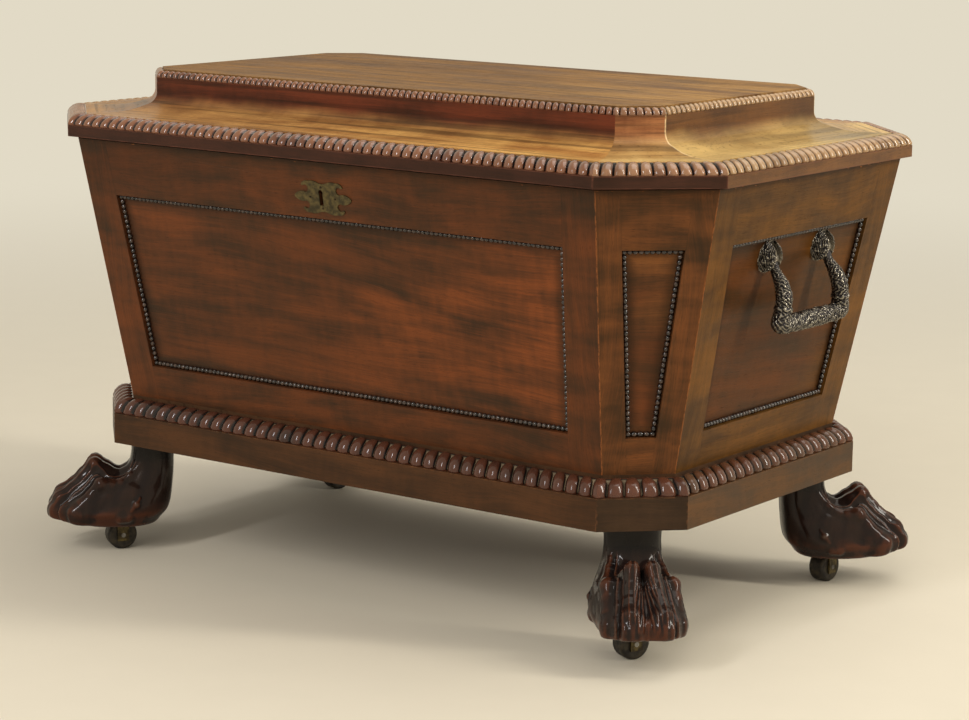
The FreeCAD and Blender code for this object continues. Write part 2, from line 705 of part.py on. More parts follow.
def hinge_leaf(centre, owner):
    """Leaf let into the wood, with its knuckles on the hinge axis."""
    low, high = leaf_heights(owner)
    leaf = block((centre - HINGE_LENGTH / 2, centre + HINGE_LENGTH / 2),
                 (leaf_edge(), HINGE_AXIS_Y - KNUCKLE_RADIUS), (low, high))
    bore = HINGE_PIN_RADIUS + (RUNNING_CLEARANCE if owner else 0)
    for span in knuckle_spans(centre, owner):
        start = Vector(span[0], HINGE_AXIS_Y, HINGE_AXIS_Z)
        knuckle = rod(start, Vector(1, 0, 0), span[1] - span[0], KNUCKLE_RADIUS)
        web = block(span, (HINGE_AXIS_Y - KNUCKLE_RADIUS - OVERLAP, HINGE_AXIS_Y), (low, high))
        leaf = leaf.fuse(web).fuse(knuckle)
    pin_hole = rod(Vector(centre - HINGE_LENGTH, HINGE_AXIS_Y, HINGE_AXIS_Z), Vector(1, 0, 0),
                   2 * HINGE_LENGTH, bore)
    leaf = leaf.removeSplitter().cut(pin_hole)
    for position in screw_positions(centre):
        leaf = leaf.cut(screw(position, owner))
    return leaf


def screw_positions(centre):
    y = leaf_edge() + HINGE_LEAF_REACH / 2 - SCREW_LINE_BACK
    step = HINGE_LENGTH / SCREWS_PER_LEAF
    return [Vector(centre + (i - (SCREWS_PER_LEAF - 1) / 2) * step, y, 0) for i in range(SCREWS_PER_LEAF)]


def screw(position, owner):
    """Countersunk screw, its head flush with the leaf, pointing down in the body and up in the lid."""
    level = BODY_RIM if owner == 0 else LID_SEAT
    direction = UP * (-1 if owner == 0 else 1)
    start = Vector(position.x, position.y, level)
    head = Part.makeCone(SCREW_HEAD_RADIUS, SCREW_RADIUS, HINGE_LEAF, start, direction)
    length = SCREW_LENGTH if owner == 0 else LID_EDGE_HEIGHT - LID_SCREW_COVER
    shank = rod(start + direction * HINGE_LEAF, direction, length - HINGE_LEAF, SCREW_RADIUS)
    return head.fuse(shank).removeSplitter()


def hinge_screws(owner):
    return [screw(position, owner) for centre in hinge_centres() for position in screw_positions(centre)]


def hinge_pins():
    return [rod(Vector(centre - HINGE_LENGTH / 2, HINGE_AXIS_Y, HINGE_AXIS_Z), Vector(1, 0, 0),
                HINGE_LENGTH, HINGE_PIN_RADIUS) for centre in hinge_centres()]


def knuckle_cutters():
    """Round room about the knuckles, and the housings of both leaves."""
    cutters = []
    for centre in hinge_centres():
        start = Vector(centre - HINGE_LENGTH / 2 - KNUCKLE_CLEARANCE, HINGE_AXIS_Y, HINGE_AXIS_Z)
        cutters.append(rod(start, Vector(1, 0, 0), HINGE_LENGTH + 2 * KNUCKLE_CLEARANCE,
                           KNUCKLE_RADIUS + KNUCKLE_CLEARANCE))
    return cutters


def leaf_housings(owner):
    low, high = leaf_heights(owner)
    return [block((centre - HINGE_LENGTH / 2, centre + HINGE_LENGTH / 2),
                  (leaf_edge(), HINGE_AXIS_Y), (low, high)) for centre in hinge_centres()]


# ---------------------------------------------------------------- lock

def lock_levels():
    """Up-slope places of the bolt and the keyhole, and the lock's middle depth."""
    bolt = SLOPE_LENGTH - BOLT_BELOW_RIM
    keyhole = SLOPE_LENGTH - KEYHOLE_BELOW_RIM
    middle = -(WALL_SQUARE + LOCK_CASE_COVER) / 2
    return bolt, keyhole, middle


def staple_place():
    """Middle of the staple: X ahead of the bolt's nose, Y over the middle of the lock case."""
    bolt, keyhole, middle = lock_levels()
    eye = face_placement(0).multVec(Vector(0, bolt, middle))
    return BOLT_NOSE + STAPLE_GAP + STAPLE_WIDTH / 2, eye.y


def bolt_block(clearance, travel=0.0):
    """The bolt's bar in the front's local plane, grown by a clearance and drawn out by its travel."""
    bolt, keyhole, middle = lock_levels()
    return block((BOLT_NOSE - BOLT_LENGTH - clearance, BOLT_NOSE + travel + clearance),
                 (bolt - BOLT_HEIGHT / 2 - clearance, bolt + BOLT_HEIGHT / 2 + clearance),
                 (middle - BOLT_THICKNESS / 2 - clearance, middle + BOLT_THICKNESS / 2 + clearance))


def lock_envelope():
    """Outer shape of the lock case, flush with the inside and the top of the front wall."""
    case = block((-LOCK_CASE_LEFT, LOCK_CASE_RIGHT), (SLOPE_LENGTH - LOCK_CASE_HEIGHT, SLOPE_LENGTH + WALL),
                 (-WALL_SQUARE, -LOCK_CASE_COVER))
    return placed(case, face_placement(0)).common(wall_board(0))


def lock_case():
    bolt, keyhole, middle = lock_levels()
    local = face_placement(0)
    channel = placed(bolt_block(BOLT_CLEARANCE, BOLT_THROW), local)
    depth = (-LOCK_CASE_COVER - KEYWAY_DEPTH, -LOCK_CASE_COVER + OVERCUT)
    keyway = rod(Vector(-KEY_LEFT, keyhole - KEYWAY_BELOW_KEYHOLE, depth[0]), Vector(0, 0, 1),
                 depth[1] - depth[0], KEYWAY_RADIUS)
    throat = block((-KEY_LEFT - KEY_SLOT / 2, -KEY_LEFT + KEY_SLOT / 2), (keyhole, bolt), depth)
    x, y = staple_place()
    half_x = STAPLE_WIDTH / 2 + STAPLE_CLEARANCE
    half_y = STAPLE_DEPTH / 2 + STAPLE_CLEARANCE
    pocket = block((x - half_x, x + half_x), (y - half_y, y + half_y),
                   (BODY_RIM - STAPLE_DROP - STAPLE_CLEARANCE, BODY_RIM + OVERCUT))
    case = lock_envelope().cut(channel).cut(pocket)
    return case.cut(placed(keyway.fuse(throat), local))


def lock_bolt():
    return placed(bolt_block(0), face_placement(0))


def lock_staple():
    """Plate let into the lid, with an eye that hangs into the lock."""
    x, y = staple_place()
    eye = block((x - STAPLE_WIDTH / 2, x + STAPLE_WIDTH / 2), (y - STAPLE_DEPTH / 2, y + STAPLE_DEPTH / 2),
                (BODY_RIM - STAPLE_DROP, LID_SEAT + OVERLAP))
    hole = placed(bolt_block(STAPLE_EYE_CLEARANCE, BOLT_STAPLE_RUN), face_placement(0))
    return staple_housing().fuse(eye).removeSplitter().cut(hole)


def staple_housing():
    """The staple's plate, and the room it is let into."""
    x, y = staple_place()
    return block((x - STAPLE_PLATE_LENGTH / 2, x + STAPLE_PLATE_LENGTH / 2),
                 (y - STAPLE_PLATE_WIDTH / 2, y + STAPLE_PLATE_WIDTH / 2),
                 (LID_SEAT, LID_SEAT + STAPLE_PLATE))


def keyhole_prism(low, high):
    """Keyhole shape, round at the top, in the front's local plane."""
    centre = lock_levels()[1]
    eye_height = centre + KEY_SLOT_HEIGHT / 2 - KEY_EYE_RADIUS
    slot = block((-KEY_LEFT - KEY_SLOT / 2, -KEY_LEFT + KEY_SLOT / 2),
                 (centre - KEY_SLOT_HEIGHT / 2, eye_height), (low, high))
    return slot.fuse(rod(Vector(-KEY_LEFT, eye_height, low), Vector(0, 0, 1), high - low, KEY_EYE_RADIUS))


def escutcheon_pin_places():
    centre = lock_levels()[1]
    return [(-ESCUTCHEON_PIN_LEFT, centre + ESCUTCHEON_PIN_UP),
            (-ESCUTCHEON_PIN_LEFT, centre - ESCUTCHEON_PIN_UP),
            (-ESCUTCHEON_PIN_ACROSS, centre), (ESCUTCHEON_PIN_ACROSS, centre)]


def escutcheon():
    """Flat plate with a horn at each corner and a tongue at each side, from four quarters."""
    side_end = ESCUTCHEON_ARCS[-1][1][0]
    quarter = prism_of(outline((0, 0), ESCUTCHEON_TOP, *ESCUTCHEON_ARCS, (side_end, 0), (0, 0)), ESCUTCHEON)
    half = quarter.fuse(quarter.mirror(Vector(0, 0, 0), Vector(1, 0, 0)))
    plate = half.fuse(half.mirror(Vector(0, 0, 0), Vector(0, 1, 0))).removeSplitter()
    plate.translate(Vector(0, lock_levels()[1], 0))
    plate = plate.cut(keyhole_prism(-OVERCUT, ESCUTCHEON + OVERCUT))
    for x, y in escutcheon_pin_places():
        plate = plate.cut(rod(Vector(x, y, -OVERCUT), UP, ESCUTCHEON + 2 * OVERCUT, ESCUTCHEON_PIN_RADIUS))
    return placed(plate, face_placement(0))


def escutcheon_pins():
    length = ESCUTCHEON_PIN_LENGTH + ESCUTCHEON + ESCUTCHEON_PIN_HEAD
    pins = [rod(Vector(x, y, -ESCUTCHEON_PIN_LENGTH), Vector(0, 0, 1), length, ESCUTCHEON_PIN_RADIUS)
            for x, y in escutcheon_pin_places()]
    return [placed(pin, face_placement(0)) for pin in pins]


# ---------------------------------------------------------------- handles

def rose_up_slope():
    return (ROSE_HEIGHT - BODY_FOOT + BAIL_AXIS_OUT * math.sin(SLOPE)
            - PANEL_SINK * math.sin(SLOPE)) / math.cos(SLOPE)


def rose_local(side):
    """Domed rose with a slot for the bail's eye and a stud through the panel, in the end's local plane."""
    centre = Vector(side * ROSE_SPACING / 2, rose_up_slope(), -PANEL_SINK)
    dome_radius = (ROSE_RADIUS ** 2 + ROSE_PROJECTION ** 2) / (2 * ROSE_PROJECTION)
    dome = Part.makeSphere(dome_radius, centre + UP * (ROSE_PROJECTION - dome_radius))
    rose = dome.common(rod(centre, UP, ROSE_PROJECTION + OVERCUT, ROSE_RADIUS + OVERCUT))
    half_slot = BAIL_EYE_WIDTH / 2 + ROSE_SLOT_CLEARANCE
    slot = block((centre.x - half_slot, centre.x + half_slot),
                 (centre.y - ROSE_SPACING, centre.y + ROSE_SPACING),
                 (-PANEL_SINK + ROSE_SLOT_FLOOR, ROSE_PROJECTION))
    stud_length = WALL_SQUARE - PANEL_SINK
    rose = rose.cut(slot).fuse(rod(centre - UP * stud_length, UP, stud_length + OVERLAP, STUD_RADIUS))
    return rose.removeSplitter().cut(bail_pin_local(side))


def bail_pin_local(side):
    """Pin across the rose, flush inside the dome's flanks."""
    centre = Vector(side * ROSE_SPACING / 2, rose_up_slope(), -PANEL_SINK + BAIL_AXIS_OUT)
    half = BAIL_EYE_WIDTH / 2 + BAIL_PIN_GRIP
    return rod(centre - Vector(half, 0, 0), Vector(1, 0, 0), 2 * half, BAIL_PIN_RADIUS)


def nut_local(side):
    """Hexagon nut on the stud, sunk flush in the inside of the panel."""
    centre = Vector(side * ROSE_SPACING / 2, rose_up_slope(), -WALL_SQUARE)
    radius = NUT_ACROSS_FLATS / math.sqrt(3)
    turns = [math.radians(60 * i) for i in range(6)]
    corners = [centre + Vector(radius * math.cos(turn), radius * math.sin(turn), 0) for turn in turns]
    return prism(corners, NUT_THICKNESS).cut(rod(centre, Vector(0, 0, 1), NUT_THICKNESS, STUD_RADIUS))


def stud_cutter_local(side):
    """Hole for the stud and counterbore for the nut."""
    centre = Vector(side * ROSE_SPACING / 2, rose_up_slope(), -WALL_SQUARE)
    hole = rod(centre, Vector(0, 0, 1), WALL_SQUARE, STUD_RADIUS)
    counterbore = rod(centre, Vector(0, 0, 1), NUT_THICKNESS, NUT_ACROSS_FLATS / math.sqrt(3) + NUT_CLEARANCE)
    return hole.fuse(counterbore)


def bail_pivot(end):
    """Middle of the bail's hinge axis on the left (-1) or right (1) end."""
    index = 2 if end > 0 else 6
    return face_placement(index).multVec(Vector(0, rose_up_slope(), -PANEL_SINK + BAIL_AXIS_OUT))


def bail(end):
    """Cast drop handle: an eye and a neck in each rose, bowed arms and a straight grip."""
    pivot = bail_pivot(end)
    centres = [(BAIL_NECK_OUT, BAIL_NECK_DROP, ROSE_SPACING, BAIL_NECK_RADIUS),
               (BAIL_ARM_OUT, BAIL_ARM_DROP, BAIL_ARM_SPREAD, BAIL_ARM_RADIUS),
               (BAIL_GRIP_OUT, BAIL_GRIP_DROP, BAIL_GRIP_LENGTH, BAIL_GRIP_RADIUS)]
    sides = []
    for side in (-1, 1):
        sides.append([(pivot + Vector(end * out, side * spread / 2, -drop), radius)
                      for out, drop, spread, radius in centres])
    shape = limb(sides[0] + sides[1][::-1], BAIL_JOINT_SWELL)
    along = Vector(0, 1, 0)
    for side in (-1, 1):
        eye = pivot + along * (side * ROSE_SPACING / 2)
        neck = Vector(end * BAIL_NECK_OUT, 0, -BAIL_NECK_DROP)
        hub = rod(eye - along * (BAIL_EYE_WIDTH / 2), along, BAIL_EYE_WIDTH, BAIL_EYE_RADIUS)
        shape = shape.fuse(hub).fuse(rod(eye, neck, neck.Length, BAIL_NECK_RADIUS))
        shape = shape.cut(rod(eye - along * BAIL_EYE_WIDTH, along, 2 * BAIL_EYE_WIDTH,
                              BAIL_PIN_RADIUS + RUNNING_CLEARANCE))
    return shape


# ---------------------------------------------------------------- build

def build_body():
    front = wall_frame(0).cut(lock_envelope())
    front = front.cut(placed(keyhole_prism(-LOCK_CASE_COVER - OVERCUT, OVERCUT), face_placement(0)))
    for pin in escutcheon_pins():
        front = front.cut(pin)
    save("front_frame", front)
    back = wall_frame(4)
    for cutter in knuckle_cutters() + leaf_housings(0) + hinge_screws(0):
        back = back.cut(cutter)
    save("back_frame", back)
    save("left_frame", wall_frame(6))
    save("right_frame", wall_frame(2))
    save("corner_frames", [wall_frame(i) for i in (1, 3, 5, 7)])
    save("front_panel", wall_panel(0))
    save("back_panel", wall_panel(4))
    for index, node in ((6, "left_panel"), (2, "right_panel")):
        panel = wall_panel(index)
        for side in (-1, 1):
            panel = panel.cut(placed(stud_cutter_local(side), face_placement(index)))
        save(node, panel)
    save("corner_panels", [wall_panel(i) for i in (1, 3, 5, 7)])
    save("front_beading", wall_beading(0))
    save("back_beading", wall_beading(4))
    save("end_beading", wall_beading(2) + wall_beading(6))
    save("corner_beading", [strip for i in (1, 3, 5, 7) for strip in wall_beading(i)])
    save("bottom_board", bottom_board())
    save("liner", liner())
    longs, crosses = divisions()
    save("long_divisions", longs)
    save("cross_divisions", crosses)


def build_plinth_and_feet():
    for name, rail in plinth_rails().items():
        save("plinth_" + name + "_rail", rail)
    save("plinth_gadroon", plinth_gadroon())
    foot = foot_local()
    sockets = []
    for corner in CASTOR_CORNERS:
        save("foot_" + corner, placed(foot, corner_placement(corner)))
        sockets.append(placed(castor_socket_local(), corner_placement(corner)))
        save("castor_fork_" + corner, placed(castor_fork_local(), castor_placement(corner)))
        save("castor_axle_" + corner, placed(castor_axle_local(), castor_placement(corner)))
        save("castor_roller_" + corner, placed(castor_roller_local(), castor_placement(corner)))
    save("castor_sockets", sockets)


def build_lid():
    boards = []
    cutters = knuckle_cutters() + leaf_housings(1) + hinge_screws(1) + [staple_housing()]
    for board in lid_frame():
        for cutter in cutters:
            if board.BoundBox.intersect(cutter.BoundBox):
                board = board.cut(cutter)
        boards.append(board)
    save("lid_frame", boards)
    save("lid_gadroon", lid_gadroon())
    save("lid_cove", lid_cove())
    save("lid_top_board", lid_top_board())
    save("crown_gadroon", crown_gadroon())


def build_ironmongery():
    save("hinge_body_leaves", [hinge_leaf(centre, 0) for centre in hinge_centres()])
    save("hinge_lid_leaves", [hinge_leaf(centre, 1) for centre in hinge_centres()])
    save("hinge_pins", hinge_pins())
    save("hinge_body_screws", hinge_screws(0))
    save("hinge_lid_screws", hinge_screws(1))
    save("lock_case", lock_case())
    save("lock_bolt", lock_bolt())
    save("lock_staple", lock_staple())
    save("escutcheon", escutcheon())
    save("escutcheon_pins", escutcheon_pins())
    ends = [(index, side) for index in (2, 6) for side in (-1, 1)]
    save("handle_roses", [placed(rose_local(side), face_placement(index)) for index, side in ends])
    save("handle_pins", [placed(bail_pin_local(side), face_placement(index)) for index, side in ends])
    save("handle_nuts", [placed(nut_local(side), face_placement(index)) for index, side in ends])
    save("left_bail", bail(-1))
    save("right_bail", bail(1))


os.makedirs("parts", exist_ok=True)
build_body()
build_plinth_and_feet()
build_lid()
build_ironmongery()
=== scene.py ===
import math

import bpy
import numpy as np
from bpy.props import FloatProperty, FloatVectorProperty, IntProperty, IntVectorProperty, PointerProperty
from mathutils import Matrix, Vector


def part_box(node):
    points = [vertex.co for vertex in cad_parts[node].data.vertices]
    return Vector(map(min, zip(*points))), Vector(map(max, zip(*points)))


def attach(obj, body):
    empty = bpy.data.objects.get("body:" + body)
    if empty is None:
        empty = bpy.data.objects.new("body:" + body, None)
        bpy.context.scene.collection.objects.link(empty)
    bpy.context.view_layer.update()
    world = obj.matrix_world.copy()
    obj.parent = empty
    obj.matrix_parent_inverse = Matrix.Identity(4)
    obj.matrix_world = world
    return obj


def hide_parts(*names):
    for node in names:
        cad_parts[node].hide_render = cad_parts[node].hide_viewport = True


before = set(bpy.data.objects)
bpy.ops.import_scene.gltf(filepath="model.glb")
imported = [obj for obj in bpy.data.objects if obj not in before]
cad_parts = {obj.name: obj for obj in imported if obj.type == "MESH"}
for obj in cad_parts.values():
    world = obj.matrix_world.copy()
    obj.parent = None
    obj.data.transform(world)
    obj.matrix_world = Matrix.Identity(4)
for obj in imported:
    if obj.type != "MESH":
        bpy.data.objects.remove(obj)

bl_info = {
    "name": "Cellarette",
    "version": (1, 0, 0),
    "blender": (4, 5, 0),
    "location": "View3D > Sidebar > Cellarette",
    "description": "Carving, beading, handles and finishes of a mahogany wine chest on its fixed frame",
    "category": "Object",
}

# Shapes are worked out in millimetres; X runs along the chest, -Y is its front, Z is up.
MM = 0.001
SINE = math.sqrt(0.5)                 # of 45 degrees
MITRE = 2 - math.sqrt(2)              # loss of cant for each unit of inset
LEAN = math.tan(math.radians(22.5))   # loss of half a side's length for each unit of inset


def extent(node):
    """Lowest and highest corner of a frame node, in millimetres."""
    return [np.array(corner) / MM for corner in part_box(node)]


HALF_LENGTH, HALF_DEPTH = extent("lid_frame")[1][:2]
CANT = 91.5                           # what the canted corner takes of each side of the lid
BODY_FOOT, BODY_RIM = extent("front_frame")[0][2], extent("front_frame")[1][2]
BODY_INSET = 68.0                     # lid edge to the foot of the body
BODY_TAPER = 57.0                     # what the walls lean out by from foot to rim
SLOPE = math.atan2(BODY_TAPER, BODY_RIM - BODY_FOOT)
SLOPE_LENGTH = math.hypot(BODY_TAPER, BODY_RIM - BODY_FOOT)
STILES = (39.0, 24.5, 41.0, 24.5)     # front, cant, end, cant; the other four sides repeat them
TOP_RAIL, BOTTOM_RAIL = 60.0, 38.0
PANEL_SINK = 6.0
BEAD = 2.8                            # radius of a ball of the beading
NECK = 0.34                           # radius between two balls, as a share of a ball's
HANDLE_HEIGHT = 387.0
AXIS_OUT = 1.5                        # the handle's axis stands this far out of the wall's plane
EYE_OUT = 52.5                        # middle of a handle to each of its eyes
CORNERS = {"front_left": (-1, -1), "front_right": (1, -1), "back_left": (-1, 1), "back_right": (1, 1)}
FRONT_START = HALF_LENGTH - CANT - LEAN * HALF_DEPTH   # the mitres' lines in plan
END_START = HALF_DEPTH - CANT - LEAN * HALF_LENGTH
CANT_OUT = (HALF_LENGTH + HALF_DEPTH - CANT) * SINE    # middle of the plan to the canted edge of the lid


# ---- sizes and colours a user may change

def rgb(red, green, blue):
    """Scene-linear colour of a display colour given from 0 to 255."""
    def linear(value):
        value /= 255
        return value / 12.92 if value <= 0.04045 else ((value + 0.055) / 1.055) ** 2.4
    return (linear(red), linear(green), linear(blue))


def colour_property(name, description, display):
    return FloatVectorProperty(name=name, description=description, default=rgb(*display), subtype="COLOR",
                               size=3, min=0, max=1)


def lobes_property(name, counts):
    return IntVectorProperty(name=name, description="Gadroon lobes from mitre to mitre: front, cant, end",
                             default=counts, size=3, min=3)


class CELLARETTE_PG_carving(bpy.types.PropertyGroup):
    """Counts and depths of the carved work."""

    plinth_lobes: lobes_property("Plinth lobes", (40, 5, 19))
    lid_lobes: lobes_property("Lid lobes", (55, 10, 27))
    crown_lobes: lobes_property("Crown lobes", (75, 6, 33))
    lobe_relief: FloatProperty(name="Lobe relief", default=0.4, min=0.05, max=0.5, subtype="FACTOR",
                               description="How far a lobe stands out of its channel, as a share of its pitch")
    bead_pitch: FloatProperty(name="Bead pitch", default=0.0056, min=0.004, unit="LENGTH",
                              description="Middle to middle of the beads round the panels")
    flutes: IntProperty(name="Grip flutes", default=6, min=3, max=12,
                        description="Twisted flutes round each handle's grip")


class CELLARETTE_PG_finish(bpy.types.PropertyGroup):
    """Colours of the woods and metals."""

    wood_dark: colour_property("Dark mahogany", "Ground colour of the walls", (44, 32, 22))
    wood_light: colour_property("Light mahogany", "Streaks in the walls", (98, 53, 27))
    wood_worn: colour_property("Worn mahogany", "Rubbed edges and crests", (158, 92, 46))
    gadroon: colour_property("Gadroon", "Crests of the carved lobes", (80, 36, 24))
    # Crevice colour: for wax in the carving's grooves and for painted shade there.
    crevice: colour_property("Crevice", "Old wax and dust in the carving", (20, 17, 17))
    top: colour_property("Top board", "Faded wood of the lid's top", (138, 102, 60))
    ebony: colour_property("Ebonised wood", "Beading round the panels", (20, 15, 14))
    paw: colour_property("Paw", "Dark ground of the feet", (28, 19, 17))
    brass: colour_property("Old brass", "Hinges and castor sockets", (118, 98, 56))
    bronze: colour_property("Dark bronze", "Drop handles", (58, 55, 56))


class CELLARETTE_PG_stage(bpy.types.PropertyGroup):
    """Camera, floor and light."""

    lens: FloatProperty(name="Lens", default=103.13, unit="CAMERA", description="Focal length in millimetres")
    station: FloatVectorProperty(name="Camera", default=(1.7721, -2.4027, 0.7879), subtype="TRANSLATION",
                                 description="Place of the camera")
    floor: colour_property("Floor", "Plain pale floor", (222, 212, 190))
    backdrop: colour_property("Backdrop", "Plain pale ground beyond the floor's light", (226, 218, 198))
    sky: FloatProperty(name="Room light", default=0.30, min=0, description="Strength of the even light")
    key: FloatProperty(name="Key light", default=0.9, min=0, description="Strength of the soft main light")


class CELLARETTE_PG_settings(bpy.types.PropertyGroup):
    """All the values of the chest."""

    carving: PointerProperty(type=CELLARETTE_PG_carving)
    finish: PointerProperty(type=CELLARETTE_PG_finish)
    stage: PointerProperty(type=CELLARETTE_PG_stage)


# ---- meshes from grids of points

def shell(grid, rows_close=False):
    """Closed surface over a grid of points whose columns go round: equal points are merged, a square that
    closes on a pole becomes a triangle, and all faces point outwards. Returns its points, its squares and
    its triangles."""
    rows, columns = grid.shape[:2]
    row = np.arange(rows if rows_close else rows - 1)[:, None]
    column = np.arange(columns)[None, :]
    after_row, after_column = (row + 1) % rows, (column + 1) % columns
    squares = np.stack([row * columns + column, after_row * columns + column,
                        after_row * columns + after_column, row * columns + after_column], -1).reshape(-1, 4)
    points = grid.reshape(-1, 3)
    keys = np.round(points * 1e4).astype(np.int64)
    first, inverse = np.unique(keys, axis=0, return_index=True, return_inverse=True)[1:]
    points, squares = points[first], inverse.ravel()[squares]
    kept = squares != np.roll(squares, -1, 1)
    full = squares[kept.sum(1) == 4]
    full = full[(full[:, 0] != full[:, 2]) & (full[:, 1] != full[:, 3])]
    halves = squares[kept.sum(1) == 3]
    halves = halves[kept[kept.sum(1) == 3]].reshape(-1, 3)
    fans = np.concatenate([full[:, [0, 1, 2]], full[:, [0, 2, 3]], halves])
    a, b, c = points[fans[:, 0]], points[fans[:, 1]], points[fans[:, 2]]
    if np.einsum("ij,ij->", a, np.cross(b, c)) < 0:
        full, halves = full[:, ::-1], halves[:, ::-1]
    return points, full, halves


def relief_of(mesh):
    """How far each point stands proud of (+) or lies below (-) its neighbours, as a share of an edge: the
    way from their mean, along the normal, over the mean length of its edges, smoothed twice."""
    count = len(mesh.vertices)
    edges = np.zeros(2 * len(mesh.edges), np.int32)
    mesh.edges.foreach_get("vertices", edges)
    start, end = edges.reshape(-1, 2).T
    points, normals = np.zeros(3 * count, np.float32), np.zeros(3 * count, np.float32)
    mesh.vertices.foreach_get("co", points)
    mesh.vertices.foreach_get("normal", normals)
    points, normals = points.reshape(-1, 3), normals.reshape(-1, 3)
    near = np.maximum(np.bincount(start, minlength=count) + np.bincount(end, minlength=count), 1)

    def gathered(values):
        return (np.bincount(start, values[end], count) + np.bincount(end, values[start], count)) / near

    mean = np.stack([gathered(points[:, i]) for i in range(3)], 1)
    length = np.linalg.norm(points[start] - points[end], axis=1)
    size = (np.bincount(start, length, count) + np.bincount(end, length, count)) / near
    relief = ((points - mean) * normals).sum(1) / np.maximum(size, 1e-6)
    for _ in range(2):
        relief = 0.5 * relief + 0.5 * gathered(relief)
    return relief


def piece(name, shells, material, body, node, crease):
    """Object of one or more closed shells, with a point attribute "relief", riding on a body in place of a
    node. Edges sharper than the crease, in degrees, stay sharp."""
    base, points, faces = 0, [], []
    for corners, squares, halves in shells:
        points.append(corners)
        faces += (squares + base).tolist() + (halves + base).tolist()
        base += len(corners)
    mesh = bpy.data.meshes.new(name)
    mesh.from_pydata(np.concatenate(points) * MM, [], faces)
    mesh.update()
    relief = mesh.attributes.new("relief", "FLOAT", "POINT")
    relief.data.foreach_set("value", relief_of(mesh).astype(np.float32))
    mesh.polygons.foreach_set("use_smooth", np.ones(len(mesh.polygons), bool))
    mesh.set_sharp_from_angle(angle=math.radians(crease))
    mesh.materials.append(material)
    thing = bpy.data.objects.new(name, mesh)
    bpy.context.scene.collection.objects.link(thing)
    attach(thing, body)
    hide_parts(node)


def turned(profile, steps, origin, axis, side):
    """Surface of revolution: a closed profile of (radius, height) carried round an axis, from a side."""
    axis, side = np.array(axis, float), np.array(side, float)
    other = np.cross(axis, side)
    angle = np.linspace(0, 2 * np.pi, steps, endpoint=False)[:, None, None]
    radius, height = np.array(profile, float).T[:, None, :, None]
    return shell(origin + height * axis + radius * (np.cos(angle) * side + np.sin(angle) * other), True)


# ---- plan of the chest

def plan_corners(inset):
    """The eight corners of the plan drawn in by an array of insets, anticlockwise from the front's left."""
    length, depth, cant = HALF_LENGTH - inset, HALF_DEPTH - inset, CANT - inset * MITRE
    x = np.stack([cant - length, length - cant, length, length, length - cant, cant - length, -length, -length])
    y = np.stack([-depth, -depth, cant - depth, depth - cant, depth, depth, depth - cant, cant - depth])
    return np.stack([x, y], -1)


def face_axes(side):
    """Middle of a wall's foot, and its directions along, up the slope and outwards."""
    turn = math.radians(45 * side - 90)      # the front's outward direction is -Y
    outward = np.array([math.cos(turn), math.sin(turn), 0.0])
    up = np.array([0.0, 0.0, 1.0])
    along = np.cross(up, outward)
    slope = outward * math.sin(SLOPE) + up * math.cos(SLOPE)
    corners = plan_corners(np.array(BODY_INSET))
    middle = (corners[side] + corners[(side + 1) % 8]) / 2
    return np.array([middle[0], middle[1], BODY_FOOT]), along, slope, np.cross(along, slope)


def window_corners(side, inward):
    """Corners of a wall's panel opening drawn in by inward, in the wall's own plane."""
    low, high = BOTTOM_RAIL + inward, SLOPE_LENGTH - TOP_RAIL - inward
    stile = STILES[side % 4] + inward * math.hypot(1, BODY_TAPER * LEAN / SLOPE_LENGTH)
    corners = []
    for level, hand in ((low, -1), (low, 1), (high, 1), (high, -1)):
        plan = plan_corners(np.array(BODY_INSET - BODY_TAPER * level / SLOPE_LENGTH))
        half = np.linalg.norm(plan[(side + 1) % 8] - plan[side]) / 2
        corners.append((hand * (half - stile), level))
    return np.array(corners)


# ---- carved mouldings

# Stations up a lobe, as shares of the quarter turn, and from its crest to its side, as shares of that half
LOBE_STATIONS = (0, 0.04, 0.12, 0.30, 0.50, 0.66, 0.80, 0.92, 1.0)
FINE_CREST, COARSE_CREST = (0, 0.48, 0.83, 1.0), (0, 0.55, 0.87, 1.0)
LOBE_HALF = 0.485                     # half a lobe's width, as a share of its pitch


